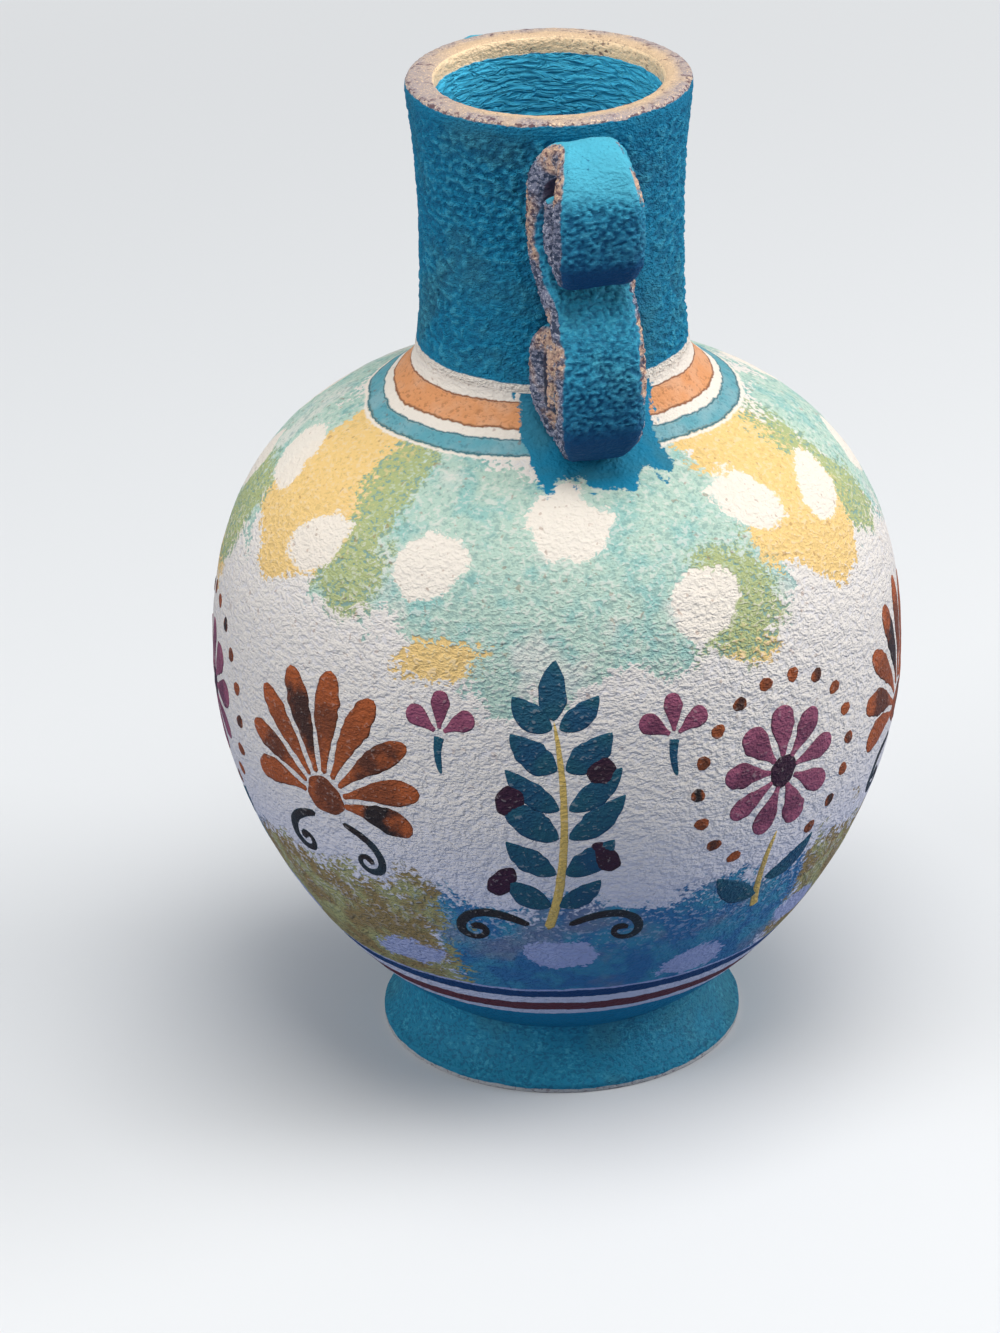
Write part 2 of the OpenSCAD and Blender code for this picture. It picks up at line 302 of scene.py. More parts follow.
def new_piece(name, points, quads, triangles, material, attributes=None, sharp=50):
    """Makes a mesh object of quads and triangles, turned to face outwards, with named numbers on
    its points. The sum of a . (b x c) over its corners tells which way it faces."""
    points = points.reshape(-1, 3)
    faces = [quads, triangles] if len(triangles) else [quads]
    tri = np.concatenate([quads[:, :3], quads[:, [0, 2, 3]], *faces[1:]])
    a, b, c = (points[tri[:, k]] for k in range(3))
    if (a * np.cross(b, c)).sum() < 0:
        faces = [f[:, ::-1] for f in faces]
    corners = np.concatenate([f.ravel() for f in faces])
    counts = np.concatenate([np.full(len(f), f.shape[1]) for f in faces])
    mesh = bpy.data.meshes.new(name)
    mesh.vertices.add(len(points))
    mesh.vertices.foreach_set("co", points.astype(np.float32).ravel())
    mesh.loops.add(len(corners))
    mesh.polygons.add(len(counts))
    mesh.polygons.foreach_set("loop_start", (np.cumsum(counts) - counts).astype(np.int32))
    mesh.polygons.foreach_set("vertices", corners.astype(np.int32))
    mesh.update(calc_edges=True)
    mesh.polygons.foreach_set("use_smooth", np.ones(len(counts), bool))
    mesh.set_sharp_from_angle(angle=math.radians(sharp))
    for key, value in (attributes or {}).items():
        layer = mesh.attributes.new(key, "FLOAT", "POINT")
        layer.data.foreach_set("value", np.asarray(value, np.float32).ravel())
    if mesh.validate():
        raise RuntimeError(f"{name} has faces that Blender had to repair")
    mesh.materials.append(material)
    piece = bpy.data.objects.new(name, mesh)
    bpy.context.scene.collection.objects.link(piece)
    return piece


def dress(piece, slot, *nodes):
    """The piece rides with the vase and stands for CAD nodes, which are hidden. Its slot is not used."""
    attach(piece, "root")
    if nodes:
        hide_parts(*nodes)
    return piece


def clay_relief(points, s):
    """Height of the clay's skin: broad lumps everywhere, and from the collar up wrinkles that are
    longer round the vase than up it, sharpened by a hyperbolic tangent and stronger in places."""
    lumps = 0.6 * noise(points, 7 * MM, 11) + 0.4 * noise(points, 3.4 * MM, 12)
    wrinkles = 0.7 * noise(points, np.array([1.6, 1.6, 1.05]) * MM, 21)
    wrinkles = np.tanh(2.4 * (wrinkles + 0.5 * noise(points, np.array([0.95, 0.95, 0.8]) * MM, 22)))
    height = points[..., 2]
    rough = smooth(height, BODY_BOX[1].z, BODY_BOX[1].z + 4 * MM)
    rough = rough * (1 - smooth(height, NECK_BOX[1].z - 1.5 * MM, NECK_BOX[1].z))
    rough = rough * (0.62 + 0.5 * noise(points, 22 * MM, 23))
    return s.lump * lumps + s.wrinkle * rough * wrinkles


def bore_relief(points, s):
    """Height of the throwing ridges inside the neck: sines of a warped height, which make wavy level
    grooves that part and meet, and that fade out at both ends of the bore."""
    height = points[..., 2]
    warp = 1.3 * noise(points, np.array([9, 9, 5]) * MM, 31)
    warp = warp + 0.6 * noise(points, np.array([4, 4, 2.5]) * MM, 32)
    ridge = np.sin(TURN * (height / (1.5 * MM) + 1.1 * warp)) * (0.65 + 0.6 * noise(points, 6 * MM, 33))
    fade = smooth(NECK_BOX[1].z - height, 0, 2 * MM) * smooth(height - NECK_BOX[0].z, 0, 3 * MM)
    return fade * (0.13 * MM * ridge + 0.12 * MM * noise(points, 1.4 * MM, 34))


# Faces round the foot, the neck and the lip
SIDE_COLUMNS = 420


def turned_piece(name, line, relief, s, material, attributes=None, columns=SIDE_COLUMNS, poles=False):
    """Turns a closed outline about the vase's axis and raises it along its normals. Relief pairs a
    slice of its rows with a function of place that gives their height. With poles, its ends meet the
    axis."""
    angle = np.linspace(0, TURN, columns, endpoint=False)[None, :]
    step = headings(line)
    grid = turned(line[:, :1], line[:, 1:], angle)
    raised = np.zeros(grid.shape[:2])
    for rows, height in relief:
        raised[rows] = height(grid[rows], s)
    grid = turned(line[:, :1] + step[:, 1:] * raised, line[:, 1:] - step[:, :1] * raised, angle)
    rows = len(line)
    fields = {k: f(angle, line, grid) for k, f in (attributes or {}).items()}
    fields["ridge"] = np.clip(2 * raised / s.wrinkle, -1, 1)
    if poles:
        ends = np.array([[0, 0, line[0, 1]], [0, 0, line[-1, 1]]])
        points = np.concatenate([grid.reshape(-1, 3), ends])
        fields = {k: np.concatenate([f.ravel(), f[0, :1], f[-1, :1]]) for k, f in fields.items()}
        return new_piece(name, points, grid_faces(rows, columns), end_fans(rows, columns),
                         material, fields)
    return new_piece(name, grid, grid_faces(rows, columns, True), [], material, fields)


# Shader nodes

class Output:
    """Output of a node in a sheet, which adds, subtracts, multiplies and divides like a number."""

    def __init__(self, sheet, socket):
        self.sheet = sheet
        self.socket = socket

    def __add__(self, other):
        return self.sheet.math("ADD", self, other)

    def __sub__(self, other):
        return self.sheet.math("SUBTRACT", self, other)

    def __rsub__(self, other):
        return self.sheet.math("SUBTRACT", other, self)

    def __mul__(self, other):
        return self.sheet.math("MULTIPLY", self, other)

    def __truediv__(self, other):
        return self.sheet.math("DIVIDE", self, other)


class NodeSheet:
    """Adds nodes to one tree and gives back their outputs. An input may be a value or an output."""

    def __init__(self, tree):
        self.tree = tree

    def add(self, kind, inputs=None, output=0, **settings):
        node = self.tree.nodes.new(kind)
        for key, value in settings.items():
            setattr(node, key, value)
        for key, value in (inputs or {}).items():
            self.feed(node.inputs[key], value)
        if isinstance(output, tuple):
            return [Output(self, node.outputs[key]) for key in output]
        return Output(self, node.outputs[output])

    def feed(self, socket, value):
        if isinstance(value, Output):
            self.tree.links.new(value.socket, socket)
        elif socket.type == "RGBA":
            socket.default_value = (*tuple(value)[:3], 1)
        else:
            socket.default_value = value

    def math(self, operation, a, b):
        return self.add("ShaderNodeMath", {0: a, 1: b}, operation=operation)

    def mix(self, factor, a, b):
        return self.add("ShaderNodeMix", {0: factor, 6: a, 7: b}, 2, data_type="RGBA")

    def shade(self, under, over, value, low, high, amount=1.0):
        return self.mix(self.step(value, low, high, 0.0, amount), under, over)

    def step(self, value, low, high, start=0.0, end=1.0):
        return self.add("ShaderNodeMapRange", {0: value, 1: low, 2: high, 3: start, 4: end},
                        interpolation_type="SMOOTHSTEP")

    def noise(self, where, scale, detail=2.0, roughness=0.5, distortion=0.0):
        return self.add("ShaderNodeTexNoise", {
            "Vector": where, "Scale": scale, "Detail": detail, "Roughness": roughness,
            "Distortion": distortion})

    def waver(self, where, scale, detail=3.0, roughness=0.6):
        return self.noise(where, scale, detail, roughness) - 0.5

    def place(self):
        return self.add("ShaderNodeTexCoord", output="Object")

    def stretched(self, where, scale):
        return self.add("ShaderNodeMapping", {"Vector": where, "Scale": scale})

    def axis(self, where, letter):
        return self.add("ShaderNodeSeparateXYZ", {0: where}, letter)

    def attribute(self, name):
        return self.add("ShaderNodeAttribute", output="Fac", attribute_name=name)

    def group(self, tree, *inputs, output=0):
        return self.add("ShaderNodeGroup", dict(enumerate(inputs)), output, node_tree=tree)


def new_group(name, inputs, outputs):
    """A shader node group with named sockets: its tree, its sheet, its output node's sockets and the
    outputs that bring in what it is given. Inputs and outputs pair a name with a kind's letter."""
    tree = bpy.data.node_groups.new(name, "ShaderNodeTree")
    kinds = {"f": "NodeSocketFloat", "c": "NodeSocketColor", "v": "NodeSocketVector"}
    for key, kind in inputs.items():
        tree.interface.new_socket(key, in_out="INPUT", socket_type=kinds[kind])
    for key, kind in outputs.items():
        tree.interface.new_socket(key, in_out="OUTPUT", socket_type=kinds[kind])
    sheet = NodeSheet(tree)
    given = tree.nodes.new("NodeGroupInput").outputs
    out = tree.nodes.new("NodeGroupOutput").inputs
    return tree, sheet, out, [Output(sheet, given[key]) for key in inputs]


def once(name, make):
    """The named node group, made the first time that it is asked for."""
    return bpy.data.node_groups.get(name) or make(name)


def stucco_group(name):
    """Fine stucco: two sizes of noise, longer round the vase than up it, as a height from 0 to 1."""
    tree, n, out, (place, scale) = new_group(name, {"Place": "v", "Scale": "f"}, {"Height": "f"})
    flat = n.stretched(place, (1, 1, 1.5))
    coarse = n.noise(flat, scale, 1.5, 0.5, 0.35)
    fine = n.noise(flat, scale * 2.3, 1.0)
    n.feed(out["Height"], n.step(coarse * 0.7 + fine * 0.3, 0.32, 0.68))
    return tree


def sponge_group(name):
    """A sponged layer of paint: it covers where a field, broken up by grain, is over zero."""
    tree, n, out, (under, tint, field, grain, reach, soft, strength) = new_group(
        name, {"Under": "c", "Paint": "c", "Field": "f", "Grain": "f", "Reach": "f", "Soft": "f",
               "Strength": "f"}, {"Colour": "c"})
    cover = n.step((grain - 0.5) * reach + field, soft * -1, soft)
    n.feed(out["Colour"], n.mix(cover * strength, under, tint))
    return tree


# Half the blur of a ring's edges
RING_BLUR = 0.14 * MM


def ring_group(name):
    """A painted ring between two heights, with edges that follow a wavering height."""
    tree, n, out, (under, tint, height, low, high) = new_group(
        name, {"Under": "c", "Paint": "c", "Height": "f", "Low": "f", "High": "f"}, {"Colour": "c"})
    over = n.step(height - low, -RING_BLUR, RING_BLUR)
    below = n.step(high - height, -RING_BLUR, RING_BLUR)
    n.feed(out["Colour"], n.mix(over * below, under, tint))
    return tree


def teal_group(name):
    """Teal coat: painted shade in the hollows, painted highlights on some ridges, and thin and grey in
    broad places.
    """
    tree, n, out, (place, height, teal, deep, light, grey) = new_group(
        name, {"Place": "v", "Height": "f", "Teal": "c", "Deep": "c", "Light": "c", "Grey": "c"},
        {"Colour": "c"})
    broad = n.noise(place, 48.0, 3.0, 0.6, 0.4)
    mottle = n.noise(place, 260.0, 3.0, 0.6)
    tone = n.shade(teal, grey, broad, 0.46, 0.66, 0.6)
    # Painted shade in the hollows, then painted highlights on the ridges
    tone = n.shade(tone, deep, height, 0.5, 0.1, 0.7)
    lit = n.step(height, 0.6, 0.95) * n.step(mottle, 0.42, 0.66)
    n.feed(out["Colour"], n.mix(lit * 0.55, tone, light))
    return tree


def fleck_group(name):
    """Flecked paint: pale flecks on the ridges, metal flakes lightened as painted glints, and dark grains
    in the pits, more with wear.
    """
    tree, n, out, (place, height, wear, plain, light, dark) = new_group(
        name, {"Place": "v", "Height": "f", "Wear": "f", "Plain": "c", "Light": "c", "Dark": "c"},
        {"Colour": "c", "Metal": "f", "Roughness": "f"})
    fleck = n.noise(place, 2900.0, 2.0, 0.6)
    patch = n.noise(place, 130.0, 4.0, 0.65)
    worn = wear * 0.34 + (patch * 0.5 - 0.22)
    pits = n.step(worn - height * 0.5, -0.04, 0.14)
    tone = n.mix(pits * 0.85, plain, dark)
    # Painted glints: pale flecks only on the ridges
    bright = n.step(fleck, 0.5, 0.66) * n.step(height, 0.25, 0.7)
    n.feed(out["Colour"], n.mix(bright * 0.8, tone, light))
    n.feed(out["Metal"], bright * 0.22 + 0.05)
    n.feed(out["Roughness"], patch * 0.3 + 0.32)
    return tree


# Roughness of the matt paint
MATT = 0.72


def new_material(name, roughness=MATT):
    """An empty painted-clay material: its sheet, its Principled shader and its object place."""
    material = bpy.data.materials.new(name)
    material.use_nodes = True
    tree = material.node_tree
    shader = tree.nodes["Principled BSDF"]
    shader.inputs["Roughness"].default_value = roughness
    shader.inputs["Specular IOR Level"].default_value = 0.2
    sheet = NodeSheet(tree)
    return material, sheet, shader, sheet.place()


def roughen(n, shader, height, depth):
    """Raises the shader's surface by a height from 0 to 1 times depth."""
    bump = n.add("ShaderNodeBump", {"Height": height, "Distance": depth, "Strength": 1.0})
    n.feed(shader.inputs["Normal"], bump)


def stucco(n, place, scale=820.0):
    """Height of the fine stucco, from 0 to 1."""
    return n.group(once("Stucco", stucco_group), place, scale)


def teal_coat(n, place, height, c):
    """Colour of the teal coat over a height from 0 to 1."""
    return n.group(once("Teal coat", teal_group), place, height, c.teal, c.teal_hollow_shade, c.teal_painted_light,
                   c.teal_grey)


def flecked(n, place, height, wear, plain, light, dark):
    """Colour, metal and roughness of flecked paint over a height from 0 to 1."""
    return n.group(once("Flecks", fleck_group), place, height, wear, plain, light, dark,
                   output=("Colour", "Metal", "Roughness"))


def ridge_shade_and_highlight(n, teal, strength, c):
    """Teal with painted shade in the grooves of the piece's own wrinkles and painted highlights on their
    ridges.
    """
    ridge = n.attribute("ridge")
    teal = n.shade(teal, c.teal_hollow_shade, ridge, 0.1, -0.7, strength)
    return n.shade(teal, c.teal_painted_light, ridge, 0.35, 0.95, 0.85 * strength)


def bronze_over(n, shader, place, height, wear, mask, under, bronze, c):
    """Lays flecked bronze over a colour where mask is 1, with its own metal and roughness."""
    colour, metal, rough = flecked(n, place, height, wear, bronze, c.bronze_light, c.bronze_dark)
    n.feed(shader.inputs["Base Color"], n.mix(mask, under, colour))
    n.feed(shader.inputs["Metallic"], metal * mask)
    n.feed(shader.inputs["Roughness"], (rough - MATT) * mask + MATT)


def wavering_height(n, place, depth, scale=90.0):
    """Height above the ground with a small waver, so that painted edges look brushed."""
    return n.waver(place, scale) * depth + n.axis(place, "Z")


# Painted rings on the body, as paint and lower and upper height in millimetres: those of the collar,
# which droop between the handles, and those above the foot. Two bands take a darker colour in the
# stucco's hollows, as painted shade
RING_DROOP = 1.3 * MM
COLLAR_RINGS = (("dab", 143.7, 147.0), ("sienna", 143.45, 143.8), ("orange", 139.75, 143.5),
                ("sienna", 139.5, 139.85), ("dab", 138.15, 139.55), ("band_dark", 137.95, 138.25),
                ("band_teal", 136.2, 138.0), ("band_dark", 135.95, 136.25), ("dab", 135.6, 135.95))
FOOT_RINGS = (("teal", 9.0, 20.7), ("cream_shade", 20.7, 22.4), ("maroon", 22.4, 25.4),
              ("cream_shade", 25.4, 27.8), ("navy", 27.8, 30.2), ("lilac", 30.2, 30.8))
BAND_PITS = {"orange": "sienna", "band_teal": "band_dark"}

# Top of the cream ring where the neck meets the collar, and half the blur of its edge
NECK_RING, NECK_RING_BLUR = 146.9 * MM, 0.15 * MM


def neck_material(c, s):
    """Teal coat, lighter in the bore as painted light, over a cream ring at the collar. Bronze lies over
    the lip as far as the gilt field goes, with painted light on it inside, mauve outside, partly tarnish
    and partly a painted reflection, and painted shade towards -X."""
    material, n, shader, place = new_material("Teal and bronze neck")
    bore, outer = n.attribute("bore"), n.attribute("outer")
    wrinkle = n.noise(n.stretched(place, (0.3, 0.3, 1)), 820.0, 2.0, 0.6, 1.1)
    coat = stucco(n, place, 1000.0)
    height = bore * (n.step(wrinkle, 0.34, 0.66) - coat) + coat
    # Painted shade and highlights follow the neck's wrinkles
    teal = ridge_shade_and_highlight(n, teal_coat(n, place, 0.55, c), 0.36, c)
    # Painted light: the bore is a lighter teal than the outside
    inner = n.mix(n.step(wrinkle, 0.3, 0.44, 0.2, 1.0), c.teal, c.bore)
    teal = n.mix(bore * 0.85, teal, inner)
    level = wavering_height(n, place, 1.2 * MM)
    ring = n.step(level, NECK_RING + NECK_RING_BLUR, NECK_RING - NECK_RING_BLUR) * (1.0 - bore)
    teal = n.mix(ring, teal, c.dab)
    gilt = n.waver(place, 420.0) * MM + n.attribute("gilt")
    mask = n.step(gilt, -0.12 * MM, 0.12 * MM)
    wear = n.step(gilt, 1.0 * MM, 0.0, 0.0, 0.7) * outer + 0.04
    # Painted light on the gilt inside the mouth
    bronze = n.mix(bore * 0.9, c.bronze, c.bronze_light)
    # Painted shade on the lip's -X side; the outer mottle is tarnish and partly a painted reflection
    side = n.step(n.axis(place, "X"), -12 * MM, -25 * MM, 0.0, 0.8) * n.step(bore, 1.0, 0.0)
    tarnish = outer * n.step(n.noise(place, 260.0, 3.0, 0.6), 0.3, 0.6, 0.35, 0.9)
    bronze = n.mix(n.math("MAXIMUM", tarnish, side), bronze, c.mauve)
    grit = stucco(n, place, 950.0)
    bronze_over(n, shader, place, grit, wear, mask, teal, bronze, c)
    height = mask * (grit - height) + height
    depth = (1.0 - mask) * (bore * 0.6 + 1.3) + 0.6
    roughen(n, shader, height * depth, 0.9 * s.stucco)
    return material


def foot_material(c, s):
    """Teal coat with a bare edge of clay round the bottom."""
    material, n, shader, place = new_material("Teal foot", 0.65)
    height = stucco(n, place, 1000.0)
    # Painted shade in the hollows of the bare clay and of the teal coat
    clay = n.shade(c.clay, c.bronze_dark, height, 0.3, 0.1, 0.5)
    teal = teal_coat(n, place, n.step(height, 0.0, 1.0, 0.2, 0.85), c)
    level = wavering_height(n, place, 1.0 * MM, 160.0)
    painted = n.step(level, s.bare_edge - 0.1 * MM, s.bare_edge + 0.1 * MM)
    n.feed(shader.inputs["Base Color"], n.mix(painted, clay, n.mix(0.2, teal, c.teal_grey)))
    roughen(n, shader, height, 0.6 * s.stucco)
    return material


def handle_material(c, s):
    """Teal coat with painted light on the crown and front, and painted shade underneath and inside the
    scrolls. The straps' sides are worn to slate with patches of copper, more towards -X than towards +X."""
    material, n, shader, place = new_material("Teal handle")
    height = stucco(n, place)
    tilt, scroll_shade = n.attribute("tilt"), n.attribute("scroll_shade")
    # Painted light: the handle's teal is lightened all over
    teal = n.mix(0.26, teal_coat(n, place, height, c), c.teal_painted_light)
    # Painted shade and highlights follow the handle's wrinkles
    teal = ridge_shade_and_highlight(n, teal, 0.6, c)
    pits = n.step(n.noise(place, 900.0), 0.34, 0.26, 0.0, 0.7)
    # Painted light on the upward faces of the top scroll, with dark pits in it
    lit = n.step(tilt, 0.1, 0.5, 0.0, 0.75) * n.attribute("crown")
    teal = n.mix(lit, teal, n.mix(pits, c.teal_painted_light, c.teal_hollow_shade))
    # Painted shade on the downward faces of the straps
    teal = n.shade(teal, c.teal_underside_shade, tilt, 0.22, -0.4, 0.96)
    # Painted shade inside the scrolls, in the dark colour of the bronze's grains
    teal = n.mix(scroll_shade * 0.75, teal, c.bronze_dark)
    reach = scroll_shade * 0.35 + (n.waver(place, 110.0) * 0.6 + n.attribute("flank"))
    worn = n.axis(place, "X") * -40.0 + n.noise(place, 60.0, 2.0)
    reach = reach * n.step(worn, 0.18, 0.28, 0.3, 1.0)
    slate = flecked(n, place, height, 0.7, c.slate, c.slate_light, c.slate_dark)[0]
    under = n.shade(teal, slate, reach, 0.62, 0.74)
    patches = n.step(n.noise(place, 75.0, 2.0, 0.5), 0.48, 0.56)
    grains = n.step(n.noise(place, 700.0, 2.0), 0.36, 0.5, 0.2, 1.0)
    copper = n.step(reach, 0.56, 0.7) * patches * grains
    bronze_over(n, shader, place, height, 0.4, copper, under, c.copper, c)
    roughen(n, shader, height, 0.8 * s.stucco)
    return material


def slip_material(c, s):
    """Teal coat on the slip that holds the handles."""
    material, n, shader, place = new_material("Painted slip")
    height = stucco(n, place)
    n.feed(shader.inputs["Base Color"], teal_coat(n, place, height, c))
    roughen(n, shader, height, 0.8 * s.stucco)
    return material


def ring_height(n, place, level):
    """Height that the painted rings follow: brushed, and from the shoulder up raised between the
    handles by RING_DROOP x^2 / (x^2 + y^2), so that the rings droop there."""
    x, y = n.axis(place, "X"), n.axis(place, "Y")
    across = x * x
    droop = across / (across + y * y) * n.step(level, 100 * MM, 110 * MM)
    brushed = n.waver(place, 900.0, 2.0, 0.5) * (0.5 * MM) + wavering_height(n, place, 1.4 * MM)
    return droop * RING_DROOP + brushed


def body_material(c, s):
    """Cream ground with sponged clouds, washes and dabs laid on in turn, then the rings. Sponged
    paint lies in the hollows of the stucco first and is rubbed off its ridges. The ground turns bluish
    grey towards the bottom, and the ground, clouds and bands darken in the stucco's hollows: painted
    shade."""
    material, n, shader, place = new_material("Painted clay")
    height, level = stucco(n, place), n.axis(place, "Z")
    grain = height * -0.45 + (n.noise(place, 200.0, 4.0, 0.6, 0.5) + 0.22)
    mottle = n.noise(place, 150.0, 3.0, 0.6)
    rubbed = n.step(height, 0.95, 0.6, 0.55, 1.0)
    sponge, ring = once("Sponged paint", sponge_group), once("Painted ring", ring_group)

    def lay(under, colour, field, reach, soft, strength):
        return n.group(sponge, under, colour, n.attribute(field), grain, reach * MM, soft * MM, strength)

    # Painted shade: the ground turns bluish grey towards the bottom and in the stucco's hollows
    colour = n.shade(c.cream, c.cream_shade, level, 86 * MM, 42 * MM)
    colour = n.shade(colour, c.cream_shade, height, 0.45, 0.1, 0.25)
    wash = n.shade(c.deep_blue, c.deep_teal, mottle, 0.4, 0.6)
    wash = n.shade(wash, c.slate, n.noise(place, 70.0, 3.0), 0.52, 0.66, 0.6)
    wet = n.step(level, 38 * MM, 54 * MM, 1.0, rubbed)
    colour = lay(colour, wash, "deep_wash", 12, 1.6, wet)
    earth = n.shade(c.brown, c.olive, mottle, 0.42, 0.64, 0.6)
    colour = lay(colour, earth, "brown_wash", 12, 1.4, wet)
    colour = lay(colour, c.lilac, "lilac_dab", 3, 0.35, 0.92)
    cloud = n.shade(c.cloud_teal, c.cloud_blue, mottle, 0.46, 0.66)
    cloud = n.shade(cloud, c.cream, n.noise(place, 60.0, 2.0), 0.56, 0.66, 0.6)
    # Painted shade: here and in the ochre and olive below, each paint darkens in the stucco's hollows
    cloud = n.shade(cloud, c.band_dark, height, 0.35, 0.05, 0.32)
    colour = lay(colour, cloud, "teal_cloud", 9, 0.7, rubbed)
    ochre = n.shade(c.ochre, c.brown, height, 0.25, 0.03, 0.22)
    colour = lay(colour, ochre, "ochre_cloud", 6, 0.5, rubbed * 0.5 + 0.5)
    olive = n.shade(c.olive, c.deep_teal, height, 0.35, 0.05, 0.5)
    colour = lay(colour, olive, "olive_cloud", 10, 1.4, rubbed)
    colour = lay(colour, c.dab, "cream_dab", 2.5, 0.25, 0.97)
    brushed = ring_height(n, place, level)
    for name, low, high in COLLAR_RINGS + FOOT_RINGS:
        tone = getattr(c, name)
        if name in BAND_PITS:
            tone = n.shade(tone, c.dab, mottle, 0.4, 0.7, 0.16)
            # Painted shade in the band's hollows
            tone = n.shade(tone, getattr(c, BAND_PITS[name]), height, 0.3, 0.0, 0.4)
        colour = n.group(ring, colour, tone, brushed, low * MM, high * MM)
    pits = n.step(n.noise(place, 700.0, 1.0), 0.32, 0.25, 0.0, 0.4)
    colour = n.mix(pits * n.step(level, 60 * MM, 115 * MM), colour, c.sienna)
    colour = lay(colour, teal_coat(n, place, 0.55, c), "handle_patch", 1.6, 0.2, 1.0)
    n.feed(shader.inputs["Base Color"], n.mix(n.attribute("inside"), colour, c.clay))
    calm = n.step(level, 100 * MM, 128 * MM, 1.0, 0.5)
    lumps = n.noise(place, 430.0, 1.0, 0.5, 0.6) * n.step(level, 130 * MM, 90 * MM, 0.0, 2.4)
    roughen(n, shader, height * calm + lumps, 1.45 * s.stucco)
    return material


def stroke_material(name, c, s, colour, dark, spread):
    """Brushed paint: dark along its rims and in part of each stroke, thin on the stucco's ridges."""
    material, n, shader, place = new_material(name, 0.6)
    height = stucco(n, place)
    pool = n.waver(place, 240.0, 3.0, 0.5) * 0.9 + n.attribute("run")
    heavy = n.step(pool, 0.1, 0.45) * n.step(pool, 0.95, 0.6)
    heavy = heavy * (n.attribute("tone") * spread + 0.1)
    rim = n.step(n.attribute("rim"), 0.7, 0.97, 0.0, 0.45)
    tone = n.mix(n.math("MAXIMUM", heavy, rim), colour, dark)
    tone = n.shade(tone, c.cream, height, 0.88, 1.0, 0.16)
    n.feed(shader.inputs["Base Color"], tone)
    roughen(n, shader, height, 1.3 * s.stucco)
    return material


# Paint fields on the body, in metres inside (above zero) or outside (below zero) each shape

# Degrees in each third of the vase, and the least value of a field
SECTOR = 120
FAR_OUTSIDE = -20 * MM


def from_turn(angle, degrees, repeat=360):
    """Signed angle from a turn, repeated round the vase."""
    step = math.radians(repeat)
    return (angle - math.radians(degrees) + step / 2) % step - step / 2


def tilted(x, y, degrees):
    """Places turned about zero by an angle."""
    cosine, sine = math.cos(math.radians(degrees)), math.sin(math.radians(degrees))
    return x * cosine - y * sine, x * sine + y * cosine


def sector_field(angle, line, grid, turn, half, low, high, wave, ragged, seed):
    """A cloud in each third of the vase: inside its half angle and between two heights, the lower
    edge falling towards its middle by a cosine wave, all shifted by noise."""
    off = from_turn(angle, turn, SECTOR)
    r, z = line[:, :1], line[:, 1:]
    low = low * MM - wave * MM * np.cos(off * 180 / half)
    field = np.minimum((math.radians(half) - np.abs(off)) * r, np.minimum(z - low, high * MM - z))
    ragged = ragged * MM
    return field + ragged * noise(grid, 14 * MM, seed) + 0.4 * ragged * noise(grid, 6 * MM, seed + 5)


def dab_field(angle, line, grid, dabs, seed):
    """Oval dabs: each is half its size times 1 - d, where d is the oval distance from its middle."""
    r, z = line[:, :1], line[:, 1:]
    field = np.full(grid.shape[:2], FAR_OUTSIDE)
    for turn, height, wide, tall, tilt in dabs:
        across = from_turn(angle, turn) * r / MM
        across, up = tilted(across, (z / MM - height) * 1.15, -tilt)
        field = np.maximum(field, (1 - np.hypot(across / wide, up / tall)) * tall * MM)
    return field + 1.3 * MM * noise(grid, 5 * MM, seed)


def thirds(dabs):
    """The same dabs in each third of the vase, those of the second and third a little shifted."""
    return [(t + SECTOR * k + 5 * math.sin(7 * k + i), h + 2 * math.sin(5 * k + 2 * i), w, v, a)
            for k in range(3) for i, (t, h, w, v, a) in enumerate(dabs)]


# Clouds and washes of each paint: middle turn and half angle in degrees, lowest and highest place, fall
# of the lower edge and raggedness in millimetres, then seed
CLOUDS = {
    "teal_cloud": [(-12, 46, 107, 137, 7, 6, 51)],
    "ochre_cloud": [(48, 18, 114, 138, 4, 4, 52)],
    "olive_cloud": [(-54, 6, 112, 134, 2, 4, 53), (22, 8, 105, 122, 2, 4, 54)],
    "deep_wash": [(2, 40, 8, 55, 0, 6, 55)],
    "brown_wash": [(-58, 24, 8, 57, 0, 6, 56)],
}

# Dabs of each paint: turn, height, half width, half height and tilt of those in a third, then seed
DABS = {
    "cream_dab": (thirds([(-37, 121, 7.0, 5.4, 20), (-13, 126, 7.6, 5.4, -10), (11, 116, 7.4, 6.0, 35),
                          (34, 127, 7.0, 4.8, -25), (60, 121, 7.4, 4.8, 30)]), 57),
    "lilac_dab": (thirds([(-44, 38, 7.6, 4.4, 10), (-16, 41, 7.0, 4.8, -8), (13, 37, 7.4, 4.6, 12),
                          (44, 40, 7.2, 4.2, -14)]), 58),
    "ochre_cloud": (thirds([(-32, 106, 8.0, 4.6, 12), (18, 104, 6.5, 4.2, -18)]), 59),
}

# Outline of the teal patch round a handle's foot, as places across and up the vase, and how far round
# from its handle in radians it may show
PATCH = np.array([
    (-11.4, 150), (-11.3, 143), (-12.2, 139), (-11.6, 136), (-11.2, 133.6), (-9.8, 131.6), (-8.8, 132.0),
    (-7.4, 133.4), (-4, 133.2), (-2.2, 133.3), (-1.4, 131.8), (2.6, 131.9), (6.4, 131.2), (7.4, 131.9),
    (8.4, 133.4), (11.5, 133.3), (14.8, 132.5), (15.2, 133.6), (13.6, 135.4), (13.2, 138), (13, 141),
    (14.2, 143.2), (14.2, 150)]) * MM
PATCH_SIDE = 1.2


def paint_field(name):
    """Field of a paint's clouds and dabs, as a function of angle, outline and places."""
    def field(*where):
        shapes = [sector_field(*where, *cloud) for cloud in CLOUDS.get(name, ())]
        if name in DABS:
            shapes.append(dab_field(*where, *DABS[name]))
        return np.maximum.reduce(shapes)
    return field


